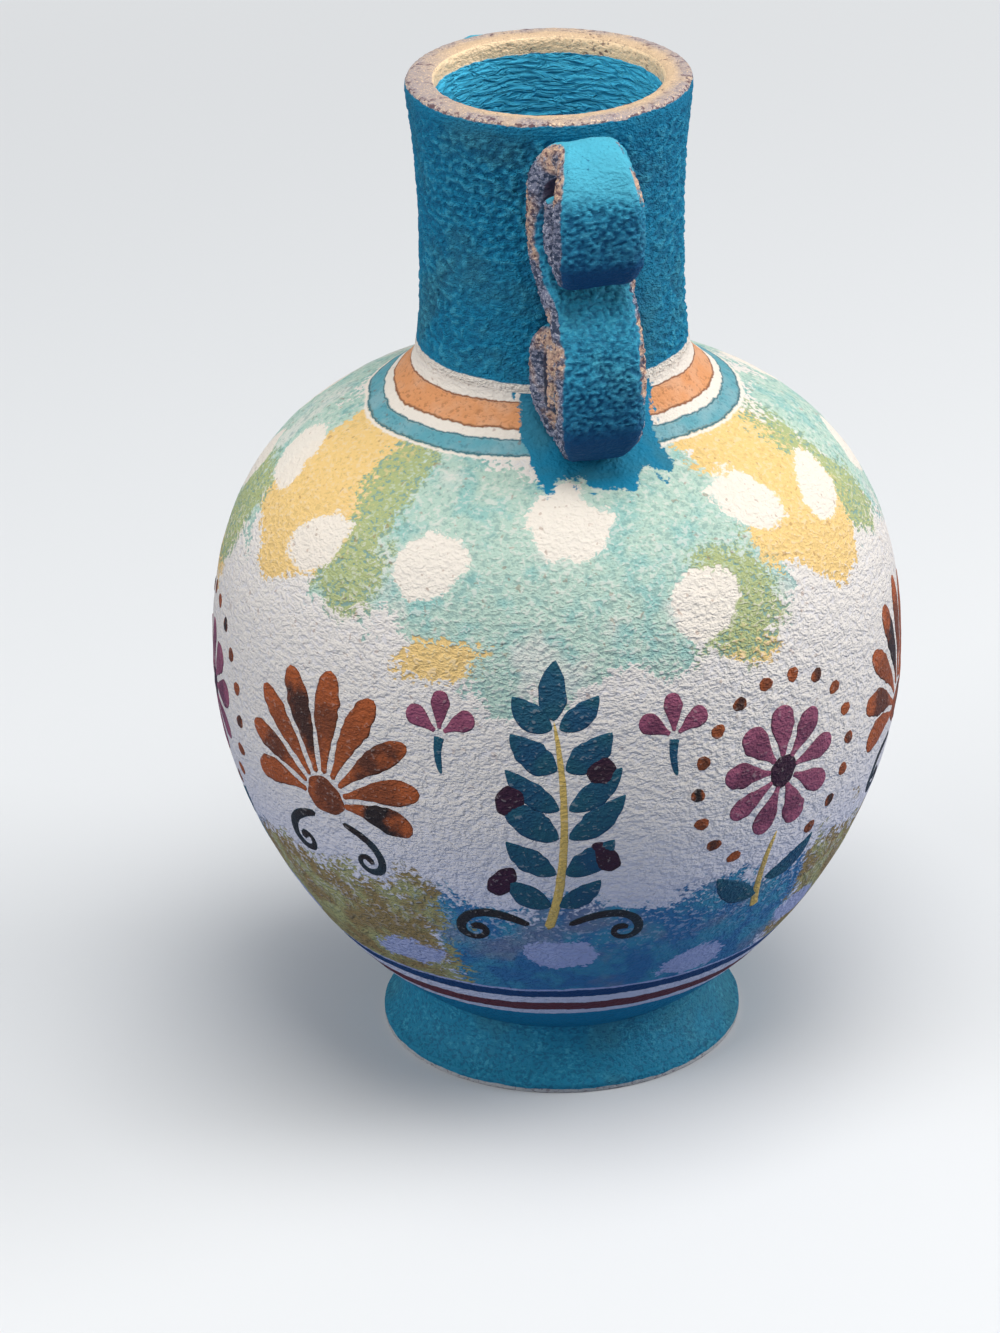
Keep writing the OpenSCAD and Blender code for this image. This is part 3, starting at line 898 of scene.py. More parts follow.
def inside_outline(x, z, outline):
    """Distance to the nearest edge of a closed outline, below zero outside it. A point is inside where
    an odd number of edges lie to its right."""
    near, inside = np.full(x.shape, 1.0), np.zeros(x.shape, bool)
    for (ax, az), (bx, bz) in zip(outline, np.roll(outline, -1, 0)):
        t = ((x - ax) * (bx - ax) + (z - az) * (bz - az)) / ((bx - ax) ** 2 + (bz - az) ** 2)
        t = np.clip(t, 0, 1)
        near = np.minimum(near, np.hypot(ax + t * (bx - ax) - x, az + t * (bz - az) - z))
        if az != bz:
            inside ^= ((az > z) != (bz > z)) & (x < ax + (z - az) * (bx - ax) / (bz - az))
    return np.where(inside, near, -near)


def patch_field(angle, line, grid):
    """Field of the teal patches, one below each handle."""
    field = np.full(grid.shape[:2], FAR_OUTSIDE)
    for turn in HANDLE_TURNS.values():
        off = from_turn(angle, turn)
        patch = inside_outline(line[:, :1] * np.sin(off), line[:, 1:] + 0 * off, PATCH)
        field = np.maximum(field, np.where(np.abs(off) < PATCH_SIDE, patch, -np.abs(patch)))
    return field


# Brush strokes

def petal_width(t):
    """Share of a petal's width at t from root to tip: it swells, then is cut off round."""
    return (0.2 + 0.8 * smooth(t, 0.0, 0.75)) * np.sqrt(np.clip(1 - t ** 6, 0, 1))


def leaf_width(t):
    """Share of a leaf's width: a sine, pointed at both ends."""
    return np.sin(math.pi * np.clip(t, 0, 1) ** 0.85) ** 0.8


def line_width(t):
    """Share of a stem's width, half as wide at its tip."""
    return (1 - 0.5 * t) * np.sqrt(np.clip(1 - t ** 10, 0, 1))


def curl_width(t):
    """Share of a tendril's width: a sine, with a drop at its tip."""
    swell = 0.45 + 0.55 * np.sin(math.pi * t ** 0.6) + 0.75 * smooth(t, 0.85, 0.97)
    return swell * np.sqrt(np.clip(1 - t ** 20, 0, 1))


# Points along and round a stroke, and from top to bottom of a dab and round it
STROKE_ROWS, STROKE_COLUMNS = 42, 12
DAB_ROWS, DAB_COLUMNS = 13, 32


class Brush:
    """Paints strokes and dabs on the body round spots of one third of it. A spot is a turn in degrees
    and a height in millimetres. Each mark is its points, its rows and columns, and two numbers for each
    point: the way along the stroke and the nearness to its rim."""

    def __init__(self, skin, s, third):
        self.skin = skin
        self.s = s
        self.third = third

    def lay(self, spot, across, up, lift):
        """Places given across and up from a spot, laid on the skin and raised by lift."""
        skin = self.skin
        arc = np.interp(spot[1] * MM, skin.z, skin.arc) + up
        r, z, nr, nz = (np.interp(arc, skin.arc, v) for v in (skin.r, skin.z, skin.nr, skin.nz))
        angle = math.radians(SECTOR * self.third + spot[0]) + across / r
        raised = clay_relief(turned(r, z, angle), self.s) + lift
        return turned(r + nr * raised, z + nz * raised, angle)

    def mark(self, grid, ends, run, rim):
        """A mark with the numbers of its grid followed by those of its two ends."""
        numbers = [np.append(np.broadcast_to(value, grid.shape[:2]).ravel(), last)
                   for value, last in (run, rim)]
        return np.concatenate([grid.reshape(-1, 3), ends]), grid.shape[:2], numbers

    def stroke(self, spot, path, width, shape, seed):
        """One stroke: a flat oval section carried along a path on the skin. Its half width follows
        shape from root to tip, and both its edges waver with noise."""
        path = even_line(path, STROKE_ROWS) * MM
        way = headings(path)[1:-1]
        t = np.linspace(0, 1, STROKE_ROWS)[1:-1, None]
        a = np.linspace(0, TURN, STROKE_COLUMNS, endpoint=False)[None, :]
        run = t * np.linalg.norm(np.diff(path, axis=0), axis=1).sum()
        where = np.stack(np.broadcast_arrays(run / (1.8 * MM), 1.5 * np.cos(a), 3.7 * seed + 0.5), -1)
        half = 0.5 * width * MM * shape(t) * (1 + 0.16 * noise(where, 1.0, 71))
        across = path[1:-1, :1] - way[:, 1:] * half * np.cos(a)
        up = path[1:-1, 1:] + way[:, :1] * half * np.cos(a)
        lift = self.s.stroke * np.sin(a) * np.clip(half / (0.6 * MM), 0.25, 1)
        ends = self.lay(spot, *path[[0, -1]].T, 0.0)
        return self.mark(self.lay(spot, across, up, lift), ends, (t, [0, 1]), (np.abs(np.cos(a)), [1, 1]))

    def strokes(self, made, spot, paths, width, shape):
        """Adds a stroke for each path, each a little wider or narrower than the last."""
        for i, path in enumerate(paths):
            size = width * (1 + 0.12 * math.sin(5 * i + self.third))
            made.append(self.stroke(spot, path, size, shape, 20 * self.third + i))

    def dab(self, made, spot, at, wide, tall, tilt=0):
        """Adds a thick dab: a flattened ball laid on the skin, its outline wavering by cosines."""
        seed = self.third + len(made)
        rise = np.linspace(0, math.pi, DAB_ROWS)[1:-1, None]
        a = np.linspace(0, TURN, DAB_COLUMNS, endpoint=False)[None, :]
        edge = 1 + 0.07 * np.cos(2 * a + seed) + 0.05 * np.cos(3 * a - 2 * seed)
        edge = (edge + 0.03 * np.cos(7 * a + 3 * seed)) * np.sin(rise)
        x, y = tilted(wide * np.cos(a) * edge, tall * np.sin(a) * edge, tilt)
        height = 1.3 * self.s.stroke
        grid = self.lay(spot, (at[0] + x) * MM, (at[1] + y) * MM, height * np.cos(rise))
        ends = self.lay(spot, *np.array([at, at], float).T * MM, height * np.array([1, -1]))
        run = 0.5 + 0.3 * np.cos(a) * np.sin(rise)
        made.append(self.mark(grid, ends, (run, [0.5, 0.5]), (np.sin(rise), [0, 0])))


def painted_piece(name, strokes, material):
    """Joins strokes into one piece, numbering the points of each after those before it."""
    counts = np.cumsum([0] + [len(place) for place, _, _ in strokes])
    quads = [grid_faces(*shape) + n for (_, shape, _), n in zip(strokes, counts)]
    fans = [end_fans(*shape) + n for (_, shape, _), n in zip(strokes, counts)]
    run, rim = (np.concatenate([marks[k] for _, _, marks in strokes]) for k in (0, 1))
    tone = np.repeat(np.arange(len(strokes)) * 0.618 % 1, np.diff(counts))
    return new_piece(name, np.concatenate([place for place, _, _ in strokes]), np.concatenate(quads),
                     np.concatenate(fans), material, {"run": run, "rim": rim, "tone": tone}, 180)


def bent(root, bend, tip):
    """Quadratic curve from root to tip that leans towards bend."""
    t = np.linspace(0, 1, 24)[:, None]
    root, bend, tip = (np.asarray(p, float) for p in (root, bend, tip))
    return (1 - t) ** 2 * root + 2 * (1 - t) * t * bend + t * t * tip


def petals(count, first, spread, start, reach, curl, drop):
    """Paths of a fan or ring of petals, spread evenly about an angle, shorter to the sides by drop."""
    made = []
    for share in np.linspace(-1, 1, count):
        a = math.radians(first + spread * share)
        size = reach * (1 - drop * share * share)
        way, side = np.array([math.sin(a), math.cos(a)]), np.array([math.cos(a), -math.sin(a)])
        made.append(bent(way * start, way * (start + size * 0.55) - side * curl * share * size,
                         way * (start + size)))
    return made


def tendril(root, size, lean, hand):
    """A curl: a line that winds into a spiral as its heading turns faster and faster."""
    t = np.linspace(0, 1, 80)[:, None]
    heading = math.radians(lean) + hand * math.radians(470) * t ** 1.8
    step = np.concatenate([np.sin(heading), np.cos(heading)], 1) * (1 - 0.62 * t)
    return np.asarray(root) + size * np.cumsum(step, 0) / len(t)


def sprig(size, sway, pairs):
    """A sprig as its stem's path and its leaves: pairs along the stem that point up and outwards."""
    stem = bent((0, 0), (sway, size * 0.5), (sway * 0.3, size))
    leaves = []
    for k in range(pairs):
        at = stem[3 + round(19 * k / (pairs - 1))]
        reach = 15 - 4.5 * abs(2 * k / (pairs - 1) - 0.9)
        for way in (-1, 1):
            out = np.array([way * reach * 0.8, reach * 0.66])
            leaves.append(bent(at + out * 0.08, at + out * 0.5 + np.array([way * 0.8, -1.2]), at + out))
    leaves.append(bent(stem[-1], stem[-1] + np.array([-0.6, 5]), stem[-1] + np.array([0.3, 11.5])))
    return stem, leaves


def paint_sprig(brush, made):
    """An olive sprig between two tendrils."""
    spot = (-14, 50)
    stem, leaves = sprig(48, 6, 6)
    brush.strokes(made["stem"], spot, [stem], 2.0, line_width)
    brush.strokes(made["leaf"], spot, leaves, 5.6, leaf_width)
    for at, tilt in (((-8.4, 13), 60), ((11, 19), -55), ((-6.4, 32), 62), ((10.6, 37.5), -60)):
        brush.dab(made["berry"], spot, at, 3.7, 2.6, tilt)
    curls = [tendril((-3, 1), 42, -58, -1), tendril((3.4, 1), 42, 58, 1)]
    brush.strokes(made["dark"], spot, curls, 2.4, curl_width)


def paint_palmette(brush, made):
    """A palmette over two tendrils."""
    spot = (-53, 74)
    brush.strokes(made["rust"], spot, petals(9, 3, 96, 4.8, 21.5, 0.14, 0.3), 6.2, petal_width)
    brush.dab(made["rust"], spot, (0, 0), 5.0, 3.8)
    curls = [tendril((-3, -5), 36, -106, -1), tendril((3, -5), 36, 106, 1)]
    brush.strokes(made["dark"], spot, curls, 2.2, curl_width)


def paint_trefoils(brush, made):
    """Two trefoils on short stalks."""
    for spot in ((-31, 93), (7, 92)):
        brush.strokes(made["plum"], spot, petals(3, 0, 58, 1.0, 7.5, 0.05, 0.1), 4.6, petal_width)
        brush.strokes(made["leaf"], spot, [bent((0, -0.5), (-0.8, -4), (0.4, -8))], 2.0, line_width)


def paint_rosette(brush, made):
    """A rosette on a leafy stem, with a ring of dots round it that leaves out its lowest places."""
    root, heart = (27, 47), (27, 79)
    brush.strokes(made["stem"], root, [bent((0, 0), (-3, 10), (0, 20))], 2.0, line_width)
    leaves = [bent((-0.6, 4), (-7, 5), (-12, 12)), bent((0, 8), (7, 8), (11, 15))]
    brush.strokes(made["leaf"], root, leaves, 5.4, leaf_width)
    brush.strokes(made["plum"], heart, petals(9, 0, 160, 3.0, 10.6, 0.02, 0), 5.8, petal_width)
    brush.dab(made["berry"], heart, (0, 0), 3.3, 3.2)
    for a in np.radians(np.arange(0, 360, 20) + 10):
        if math.cos(a) > -0.93:
            brush.dab(made["rust"], heart, (19 * math.sin(a), 19 * math.cos(a)), 1.5, 1.35)


# Handles

# Heading in degrees at the middle of a handle's S, then the stretches of each half: length, turn in
# degrees and share of the width pinched off
SCROLL_HEADING = 160
SCROLL_STRETCHES = np.array([[16.4, -70, 0], [7, -6, 0], [25, -168, 0.28],
                             [7.5, -8, 0], [14.2, -176, 0.14], [8.5, -4, 0]])


def scroll_path(depth, up, down, steps=36):
    """The S of a handle from its bottom end to its top end, in outward and upward places: each half
    is walked from the middle, its heading turning evenly along each stretch, and scaled to size. Also
    the share of the width pinched off, by sine squared along a stretch, and the share of the way."""
    run = np.repeat(SCROLL_STRETCHES[:, :2] / steps, steps, axis=0)
    heading = np.radians(SCROLL_HEADING + np.cumsum(run[:, 1]) - run[:, 1] / 2)
    walk = np.cumsum(run[:, :1] * np.stack([np.cos(heading), np.sin(heading)], 1), axis=0)
    half = np.concatenate([[[0, 0]], walk])
    wide, peak = depth / np.ptp(half[:, 0]), half[:, 1].max()
    pinch = np.sin(np.linspace(0, math.pi, steps + 1)[1:]) ** 2 * SCROLL_STRETCHES[:, 2:]
    pinch = np.append(0, pinch.ravel())
    path = np.concatenate([-half[::-1] * [wide, down / peak], half[1:] * [wide, up / peak]])
    return path, np.stack([np.append(pinch[::-1], pinch[1:]), np.linspace(-1, 1, len(path))], 1)


def strap_section(s, count):
    """Rounded rectangle of the strap, as even steps across its width and through its thickness."""
    w, t, r = s.strap_width / 2, s.strap_thickness / 2, s.strap_edge
    a = np.linspace(0, math.pi / 2, 20)
    corners = [(w - r, t - r, 0), (r - w, t - r, 1), (r - w, r - t, 2), (w - r, r - t, 3)]
    line = along(*[np.stack([x + r * np.cos(a + k * math.pi / 2), z + r * np.sin(a + k * math.pi / 2)], 1)
                   for x, z, k in corners])
    return even_line(along(line, line[0]), count + 1)[:-1]


def vessel_edge(s):
    """Outline of the shoulder and neck with a layer of slip on it, for pressing the straps on."""
    skin = body_skin(s)
    keep = skin.z > s.belly_height
    line = along(np.stack([skin.r, skin.z], 1)[keep], neck_line(s, 200))
    step = headings(line)
    return line + s.slip * np.stack([step[:, 1], -step[:, 0]], 1)


def pressed_on(grid, edge):
    """Points inside the vessel's outline move to its nearest place, as soft clay does."""
    r = np.hypot(grid[..., 0], grid[..., 1])
    inside = r < np.interp(grid[..., 2], edge[:, 1], edge[:, 0])
    flat = np.stack([r[inside], grid[inside][:, 2]], 1)
    near = edge[np.square(flat[:, None, :] - edge[None, ::4, :]).sum(-1).argmin(1) * 4]
    moved = grid.copy()
    moved[inside, :2] *= (near[:, 0] / flat[:, 0])[:, None]
    moved[inside, 2] = near[:, 1]
    return moved


# Points along and round a strap, and the length over which its ends are rounded off
STRAP_ROWS, STRAP_COLUMNS = 540, 164
STRAP_END = 1.6 * MM


def strap_course(s, top):
    """Even steps along a handle's S, with the share of the width pinched off and the share of the way
    at each, and how far out and how high its middle lies."""
    out = s.neck - s.strap_press + s.scroll_depth / 2
    dome = s.dome_rise * (1 - (out / BODY_BOX[1].x) ** DOME_SQUARE) ** (1 / DOME_SQUARE)
    seat = s.belly_height + dome + s.strap_seat
    middle, half = top - s.scroll_height, s.strap_thickness / 2
    path, marks = scroll_path(s.scroll_depth - 2 * half, s.scroll_height - half, middle - seat - half)
    # Both marks go along as coordinates that are too small to lengthen the line
    path = even_line(np.concatenate([path, 1e-6 * marks], 1), STRAP_ROWS)
    return path[:, :2], 1e6 * path[:, 2:3], 1e6 * path[:, 3:], out, middle


def strap_sweep(s, section, path, pinch, share):
    """The section carried along the S, as places across, outwards and upwards: thinner towards its
    ends, which are rounded off by a quarter circle, and wider where it is pressed on the neck. Also the
    share of its size that the rounding leaves."""
    step = headings(path)
    run = np.linalg.norm(np.diff(path, axis=0), axis=1).sum()
    cap = np.clip((1 - np.abs(np.linspace(-1, 1, len(path)))) * run / 2 / STRAP_END, 0, 1)[:, None]
    cap = np.sqrt(np.clip(1 - (1 - cap) ** 2, 0.02, 1))
    thick = (1 - (1 - s.strap_tip / s.strap_thickness) * np.clip(2 * np.abs(share) - 1, 0, 1)) * cap
    spread = s.strap_spread * np.clip(-path[:, :1] / (s.scroll_depth / 2), 0, None)
    flat = np.clip(section[:, 0] / (s.strap_width / 2 - s.strap_edge), -1, 1)
    across = (section[:, 0] + spread * flat) * ((0.55 + 0.45 * cap) * (1 - pinch))
    through = section[:, 1] * thick
    return across, path[:, :1] - through * step[:, 1:], path[:, 1:] + through * step[:, :1], cap


def strap_marks(s, grid, facing, section, share, top):
    """Numbers for the paint: how far a place faces sideways and up, how near it is to the handle's top,
    and how deep it lies inside a scroll, where shade is painted."""
    inside = -np.sign(share) * section[:, 1] / (s.strap_thickness / 2)
    return {"flank": np.abs(facing[..., 0]), "tilt": facing[..., 2],
            "crown": smooth(grid[..., 2], top - 14 * MM, top - 9 * MM),
            "scroll_shade": smooth(inside, 0.3, 0.9) * smooth(np.abs(share), 0.2, 0.34)}


def strap_relief(s, grid, facing, flank, tilt, crown, scroll_shade):
    """Height of a strap's skin: wrinkles, sharpened by a hyperbolic tangent, on its outer face and its
    sides, broad lumps, and a groove along its top, shaped by a bell curve. Also the wrinkles alone."""
    rough = smooth(-facing[..., 1], -0.1, 0.4) * (1 - smooth(tilt, 0.15, 0.5) * (0.3 + 0.7 * crown))
    rough = rough * (1 - smooth(-tilt, 0.1, 0.5))
    rough = 0.14 + 0.86 * np.maximum(rough, 0.9 * smooth(flank, 0.6, 0.9)) * (1 - 0.6 * scroll_shade)
    wrinkles = 0.6 * noise(grid, np.array([1.15, 0.8, 0.75]) * MM, 41)
    wrinkles = wrinkles + 0.6 * noise(grid, np.array([0.75, 0.6, 0.58]) * MM, 42)
    wrinkles = rough * np.tanh(2.6 * wrinkles)
    raised = 0.7 * s.wrinkle * wrinkles + 2.2 * s.lump * noise(grid, 6.5 * MM, 43)
    bell = np.exp(-((grid[..., 0] + 2.5 * MM) / (2.6 * MM)) ** 2)
    return raised - 3 * s.lump * smooth(tilt, 0.5, 0.9) * crown * bell, wrinkles


def strap_piece(name, s, turn, material):
    """A handle: the rounded section carried along the S and raised by its relief, then pressed on the
    vessel and turned into place."""
    top = HANDLE_BOXES[name][1].z
    section = strap_section(s, STRAP_COLUMNS)
    path, pinch, share, out, middle = strap_course(s, top)
    across, outward, upward, cap = strap_sweep(s, section, path, pinch, share)
    grid = np.stack([across, -out - outward, middle + upward], -1)
    facing = ring_normals(grid)
    if ((grid - grid.mean(1, keepdims=True)) * facing).sum() < 0:
        facing = -facing
    marks = strap_marks(s, grid, facing, section, share, top)
    raised, marks["ridge"] = strap_relief(s, grid, facing, **marks)
    grid = pressed_on(grid + facing * (raised * cap)[..., None], vessel_edge(s))
    ends = np.stack([grid[0].mean(0), grid[-1].mean(0)])
    a = math.radians(turn)
    spin = np.array([[math.cos(a), -math.sin(a), 0], [math.sin(a), math.cos(a), 0], [0, 0, 1]])
    points = np.concatenate([grid.reshape(-1, 3), ends]) @ spin.T
    marks = {key: np.append(value.ravel(), [0, 0]) for key, value in marks.items()}
    shape = grid.shape[:2]
    return new_piece(name + "_strap", points, grid_faces(*shape), end_fans(*shape), material, marks, 60)


# Studio

# Light from the studio's sky, light thrown back by its floor, and the backdrop as the camera sees it
SKY, FLOOR_BOUNCE, BACKDROP = (0.84, 0.92, 1.0), (0.22, 0.27, 0.4), (0.86, 0.87, 0.88)
SKY_STRENGTH = 0.34
BLACK = (0, 0, 0)

# Lamps as name, place, size in metres and power in watts, all aimed at one place
LAMPS = (("top_box", (0.1, -0.25, 1.35), 0.9, 12.5),
         ("left_box", (-1.2, -0.2, 0.6), 0.7, 6.5),
         ("right_box", (1.2, -0.15, 0.65), 0.7, 10.5))
LAMP_AIM = Vector((0, 0, 0.1))

# The camera's lens and sensor in millimetres, its place before it swings round the vase, and its angles
# in degrees
LENS, SENSOR = 144.27, 36
CAMERA_PLACE = Vector((0, -0.9455, 0.5347))
SWING, YAW, PITCH, ROLL = -11.8, 0.68, 25.87, -1.1

# The floor's radius in metres, its faces round, and where it fades into the backdrop
FLOOR_RADIUS, FLOOR_COLUMNS = 3.0, 72
HAZE_START, HAZE_END = 0.3, 1.2


def rotation(degrees, axis):
    """Turn about an axis, as a matrix."""
    return Matrix.Rotation(math.radians(degrees), 4, axis)


def add_camera(scene):
    """Camera that sees the vase from the side of its front handle and from above."""
    camera = bpy.data.objects.new("camera", bpy.data.cameras.new("camera"))
    camera.data.sensor_width = SENSOR
    camera.data.lens = LENS
    camera.data.clip_start = 0.05
    camera.data.clip_end = 20
    swing = rotation(SWING, "Z")
    look = swing @ rotation(YAW, "Z") @ rotation(90 - PITCH, "X") @ rotation(ROLL, "Z")
    camera.matrix_world = Matrix.Translation(swing @ CAMERA_PLACE) @ look
    scene.collection.objects.link(camera)
    scene.camera = camera


def add_lamps(scene):
    """Square soft boxes above and on both sides."""
    for name, where, size, power in LAMPS:
        lamp = bpy.data.lights.new(name, "AREA")
        lamp.size = size
        lamp.energy = power
        box = bpy.data.objects.new(name, lamp)
        box.location = where
        box.rotation_euler = (LAMP_AIM - Vector(where)).to_track_quat("-Z", "Y").to_euler()
        scene.collection.objects.link(box)


def add_world(scene):
    """Sky that lights the vase, with a plain backdrop in its place for the camera."""
    world = bpy.data.worlds.new("studio")
    world.use_nodes = True
    n = NodeSheet(world.node_tree)
    seen = n.add("ShaderNodeLightPath", output="Is Camera Ray")
    back = world.node_tree.nodes["Background"]
    n.feed(back.inputs["Color"], n.mix(seen, SKY, BACKDROP))
    n.feed(back.inputs["Strength"], n.step(seen, 0.0, 1.0, SKY_STRENGTH, 1.0))
    scene.world = world


def floor_material(c):
    """Pale floor that fades into the backdrop for the camera and throws back a bluer light."""
    material = bpy.data.materials.new("Studio floor")
    material.use_nodes = True
    n = NodeSheet(material.node_tree)
    shader = material.node_tree.nodes["Principled BSDF"]
    seen = n.add("ShaderNodeLightPath", output="Is Camera Ray")
    far = n.add("ShaderNodeVectorMath", {0: n.place()}, "Value", operation="LENGTH")
    haze = n.step(far, HAZE_START, HAZE_END)
    n.feed(shader.inputs["Base Color"], n.mix(seen, FLOOR_BOUNCE, n.mix(haze, c.floor, BLACK)))
    n.feed(shader.inputs["Emission Color"], n.mix(haze * seen, BLACK, BACKDROP))
    shader.inputs["Roughness"].default_value = 0.9
    shader.inputs["Emission Strength"].default_value = 1.0
    return material


def add_floor(scene, c):
    """Floor: a disc of rings, the radius of each growing as t^2."""
    r = np.linspace(0, 1, 30)[1:, None] ** 2 * FLOOR_RADIUS
    a = np.linspace(0, TURN, FLOOR_COLUMNS, endpoint=False)[None, :]
    grid = np.stack([r * np.cos(a), r * np.sin(a), 0 * r * a], -1)
    mesh = bpy.data.meshes.new("floor")
    faces = grid_faces(*grid.shape[:2])[:, ::-1].tolist() + [list(range(FLOOR_COLUMNS))]
    mesh.from_pydata(grid.reshape(-1, 3).tolist(), [], faces)
    mesh.materials.append(floor_material(c))
    floor = bpy.data.objects.new("floor", mesh)
    scene.collection.objects.link(floor)


# Operators

# Depth of the gallery in the collar, and radius of the last rings before the axis
GALLERY_DEPTH, POLE_RING = 4 * MM, 6 * MM


def settings(context):
    """Sizes and colours of the vase."""
    return context.scene.amphora_sizes, context.scene.amphora_colours


class AMPHORA_OT_stage(Operator):
    """Camera, floor, lamps and world of the studio"""
    bl_idname = "amphora.stage"
    bl_label = "Studio"

    def execute(self, context):
        context.scene.view_settings.view_transform = "Standard"
        add_camera(context.scene)
        add_floor(context.scene, context.scene.amphora_colours)
        add_lamps(context.scene)
        add_world(context.scene)
        return {"FINISHED"}


class AMPHORA_OT_foot(Operator):
    """Flared foot and the slip that beds it"""
    bl_idname = "amphora.foot"
    bl_label = "Foot"

    def execute(self, context):
        s, c = settings(context)
        rim, top, boss_z = FOOT_BOX[1].x, FOOT_BOX[1].z, BODY_BOX[0].z
        soft = 0.5 * MM
        flare = bezier((rim, s.foot_edge), ((rim + s.waist) / 2, s.foot_edge + (top - s.foot_edge) / 8),
                       (s.waist, (s.foot_edge + top) / 2), (s.waist, top))
        edge = bezier((rim - soft, 0), (rim, 0), (rim, 0), (rim, soft), 8)
        skin = even_line(along(edge, (rim, s.foot_edge - 0.2 * MM), flare[4:]), 52)
        recess = even_line([(s.foot_bore, boss_z), (rim - s.foot_ring, 0)], 8)
        line = along(recess, (rim - 2 * soft, 0), skin,
                     even_line([(s.waist, top), (s.foot_bore, top)], 4)[1:],
                     even_line([(s.foot_bore, top), (s.foot_bore, boss_z)], 4)[1:-1])
        material = foot_material(c, s)
        first = len(recess) + 2
        rough = slice(first, first + len(skin) - 2)

        def standing(points, s):
            return clay_relief(points, s) * smooth(points[..., 2], 0.2 * MM, 1.2 * MM)

        dress(turned_piece("flared_foot", line, [(rough, standing)], s, material), "teal_glaze", "foot")
        base = top + s.slip
        ring = along((s.boss, boss_z), (s.foot_bore, boss_z), (s.foot_bore, top),
                     even_line([(s.waist, top), (s.waist, base)], 4), (s.boss, base))
        slip = turned_piece("foot_slip", ring, [(slice(3, 7), clay_relief)], s, material)
        dress(slip, "slip_clay", "foot_slip_ring")
        return {"FINISHED"}


class AMPHORA_OT_body(Operator):
    """Round body with its sponged and banded paint"""
    bl_idname = "amphora.body"
    bl_label = "Body"

    def execute(self, context):
        s, c = settings(context)
        skin = body_skin(s)
        outer = even_line(np.stack([skin.r, skin.z], 1), 176)
        inner_r, floor_z, boss_z = skin.belly - s.wall, skin.base + s.floor, BODY_BOX[0].z
        dome = squared_quarter(inner_r, s.dome_rise - s.wall, DOME_SQUARE, s.bore)[::-1]
        rise = skin.bowl_rise - s.wall
        drop = (s.belly_height - floor_z) / rise
        floor_r = inner_r * (1 - drop ** BOWL_SQUARE) ** (1 / BOWL_SQUARE)
        bowl = squared_quarter(inner_r, -rise, BOWL_SQUARE, floor_r)[1:]
        gallery, shelf = s.spigot + s.slip, skin.top - GALLERY_DEPTH
        line = along((POLE_RING, boss_z), (s.boss, boss_z), (s.boss, skin.base), outer,
                     (gallery, skin.top), (gallery, shelf), (s.bore, shelf),
                     even_line(along(dome, bowl) + [0, s.belly_height], 22), (POLE_RING, floor_z))
        rough = slice(3, 3 + len(outer))

        def inside(angle, line, grid):
            mask = np.ones(grid.shape[:2])
            mask[rough] = 0
            return mask

        fields = {name: paint_field(name) for name in {**CLOUDS, **DABS}}
        fields.update(inside=inside, handle_patch=patch_field)
        body = turned_piece("round_body", line, [(rough, clay_relief)], s, body_material(c, s), fields,
                            s.columns, True)
        dress(body, "painted_clay", "body")
        return {"FINISHED"}


def level_mark(value):
    """A mark that is the same all round, from a function of the outline's radius and height."""
    return lambda angle, line, grid: np.broadcast_to(value(line[:, :1], line[:, 1:]), grid.shape[:2])


def lip_marks(s):
    """Marks of the neck and lip: the bore, the lip's outside, and the height over the edge of its
    bronze, which reaches further down inside than outside."""
    crown, rim = LIP_BOX[1].z, LIP_BOX[1].x
    middle = (rim + s.bore) / 2
    return {
        "bore": level_mark(lambda r, z: r < s.bore + 0.4 * MM),
        "outer": level_mark(lambda r, z: smooth(r, middle - 1.4 * MM, rim - 1.4 * MM)),
        "gilt": level_mark(lambda r, z: z - crown + np.where(r < middle, 3.4 * MM, 0.75 * MM)),
    }


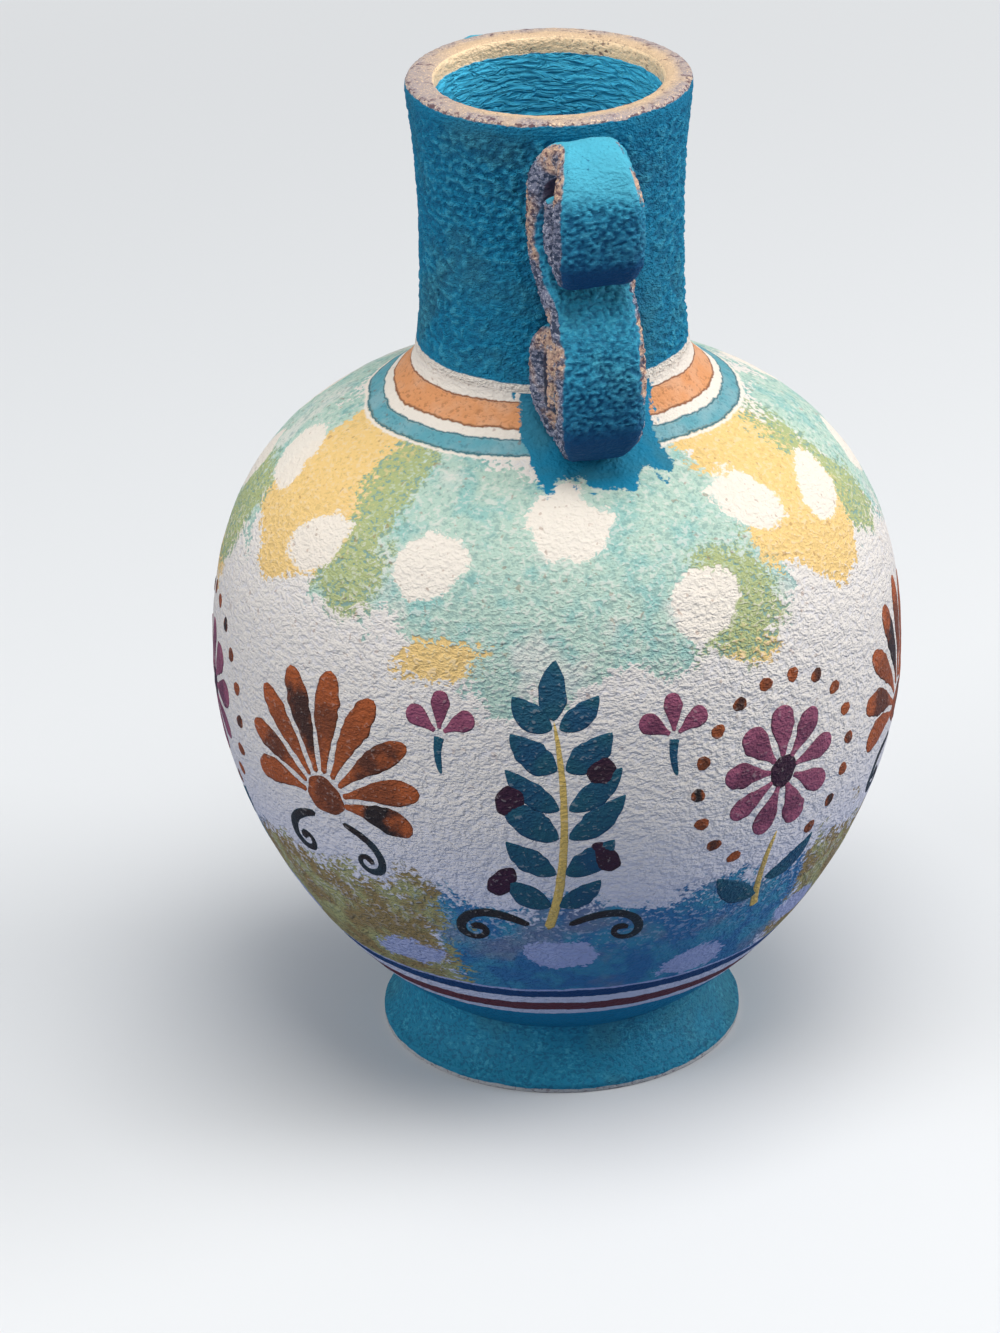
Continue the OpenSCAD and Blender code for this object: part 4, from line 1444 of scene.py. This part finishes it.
class AMPHORA_OT_neck(Operator):
    """Flared neck, its slip, and the lip with its slip"""
    bl_idname = "amphora.neck"
    bl_label = "Neck and Lip"

    def execute(self, context):
        s, c = settings(context)
        low, top, foot = BODY_BOX[1].z, NECK_BOX[1].z, NECK_BOX[0].z
        base, crown, rim = LIP_BOX[0].z, LIP_BOX[1].z, LIP_BOX[1].x
        shared = s, neck_material(c, s), lip_marks(s)
        outer = neck_line(s, 124)
        deep = top - 24 * MM
        bore = along(even_line([(s.bore, top), (s.bore, deep)], 98),
                     even_line([(s.bore, deep), (s.bore, foot)], 9)[1:])
        line = along((s.spigot, foot), (s.spigot, low + s.slip), outer, bore)
        bare = 2 + len(outer)
        relief = [(slice(2, bare), clay_relief), (slice(bare + 1, bare + len(bore) - 1), bore_relief)]
        dress(turned_piece("flared_neck", line, relief, *shared), "teal_glaze", "neck")
        gallery, shelf = s.spigot + s.slip, low - GALLERY_DEPTH
        ring = along((s.bore, shelf), (gallery, shelf), (gallery, low),
                     even_line([(s.collar, low), (s.collar, low + s.slip)], 4),
                     (s.spigot, low + s.slip), (s.spigot, foot), (s.bore, foot))
        slip = turned_piece("neck_slip", ring, [(slice(3, 7), clay_relief)], *shared)
        dress(slip, "slip_clay", "neck_slip_ring")
        bed = along(even_line([(NECK_BOX[1].x, top), (NECK_BOX[1].x, base)], 4),
                    even_line([(s.bore, base), (s.bore, top)], 4))
        bedding = turned_piece("lip_slip", bed, [(slice(0, 4), clay_relief)], *shared)
        dress(bedding, "slip_clay", "lip_slip_ring")
        quarter = squared_quarter((rim - s.bore) / 2, crown - base, LIP_SQUARE, 0)
        bead = along(quarter, quarter[-2::-1] * [-1, 1]) + [(rim + s.bore) / 2, base]
        bead = along(even_line(bead, 56), even_line([(s.bore, base), (rim, base)], 5)[1:-1])

        def coil(points, s):
            return 0.7 * clay_relief(points, s) + 0.1 * MM * noise(points, 1.3 * MM, 61)

        lip = turned_piece("rounded_lip", bead, [(slice(1, 55), coil)], *shared)
        dress(lip, "bronze_paint", "lip")
        return {"FINISHED"}


class AMPHORA_OT_handles(Operator):
    """Two S-scroll straps, and paint on the slip that holds them"""
    bl_idname = "amphora.handles"
    bl_label = "Handles"

    def execute(self, context):
        s, c = settings(context)
        material, slip = handle_material(c, s), slip_material(c, s)
        for name, turn in HANDLE_TURNS.items():
            dress(strap_piece(name, s, turn, material), "teal_glaze", name)
            for patch in ("_neck_slip", "_shoulder_slip"):
                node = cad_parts[name + patch]
                node.data.materials.clear()
                node.data.materials.append(slip)
        return {"FINISHED"}


# Pieces of the ornament by the name of their paint: piece, colour, dark colour and how much darker
# some strokes are
STROKES = {
    "rust": ("rust_strokes", "rust", "soot", 0.95), "dark": ("dark_strokes", "soot", "leaf", 0.2),
    "leaf": ("leaf_strokes", "leaf", "navy", 0.4), "stem": ("stem_strokes", "stem", "brown", 0.5),
    "plum": ("plum_strokes", "plum", "aubergine", 0.5), "berry": ("berry_dabs", "aubergine", "soot", 0.4)}


class AMPHORA_OT_ornament(Operator):
    """Brushed sprigs, palmettes, rosettes and tendrils in each third of the belly"""
    bl_idname = "amphora.ornament"
    bl_label = "Ornament"

    def execute(self, context):
        s, c = settings(context)
        skin = body_skin(s)
        made = {key: [] for key in STROKES}
        for third in range(3):
            brush = Brush(skin, s, third)
            for motif in (paint_sprig, paint_palmette, paint_trefoils, paint_rosette):
                motif(brush, made)
        for key, (name, colour, dark, spread) in STROKES.items():
            label = name.replace("_", " ").capitalize()
            material = stroke_material(label, c, s, getattr(c, colour), getattr(c, dark), spread)
            dress(painted_piece(name, made[key], material), "painted_clay")
        return {"FINISHED"}


class AMPHORA_PT_panel(Panel):
    """Builds the dressed vase piece by piece"""
    bl_idname = "AMPHORA_PT_panel"
    bl_label = "Painted Amphora"
    bl_space_type = "VIEW_3D"
    bl_region_type = "UI"
    bl_category = "Amphora"

    def draw(self, context):
        column = self.layout.column(align=True)
        for made in OPERATORS:
            column.operator(made.bl_idname)
        for group in (context.scene.amphora_sizes, context.scene.amphora_colours):
            box = self.layout.box()
            for key in group.bl_rna.properties.keys():
                if key not in ("rna_type", "name"):
                    box.prop(group, key)


OPERATORS = (AMPHORA_OT_stage, AMPHORA_OT_foot, AMPHORA_OT_body, AMPHORA_OT_neck, AMPHORA_OT_handles,
             AMPHORA_OT_ornament)
CLASSES = (AmphoraSizes, AmphoraColours, *OPERATORS, AMPHORA_PT_panel)


def register():
    for cls in CLASSES:
        bpy.utils.register_class(cls)
    bpy.types.Scene.amphora_sizes = PointerProperty(type=AmphoraSizes)
    bpy.types.Scene.amphora_colours = PointerProperty(type=AmphoraColours)


def unregister():
    del bpy.types.Scene.amphora_colours
    del bpy.types.Scene.amphora_sizes
    for cls in reversed(CLASSES):
        bpy.utils.unregister_class(cls)


def main():
    register()
    bpy.ops.amphora.stage()
    bpy.ops.amphora.foot()
    bpy.ops.amphora.body()
    bpy.ops.amphora.neck()
    bpy.ops.amphora.handles()
    bpy.ops.amphora.ornament()


if __name__ == "__main__":
    main()
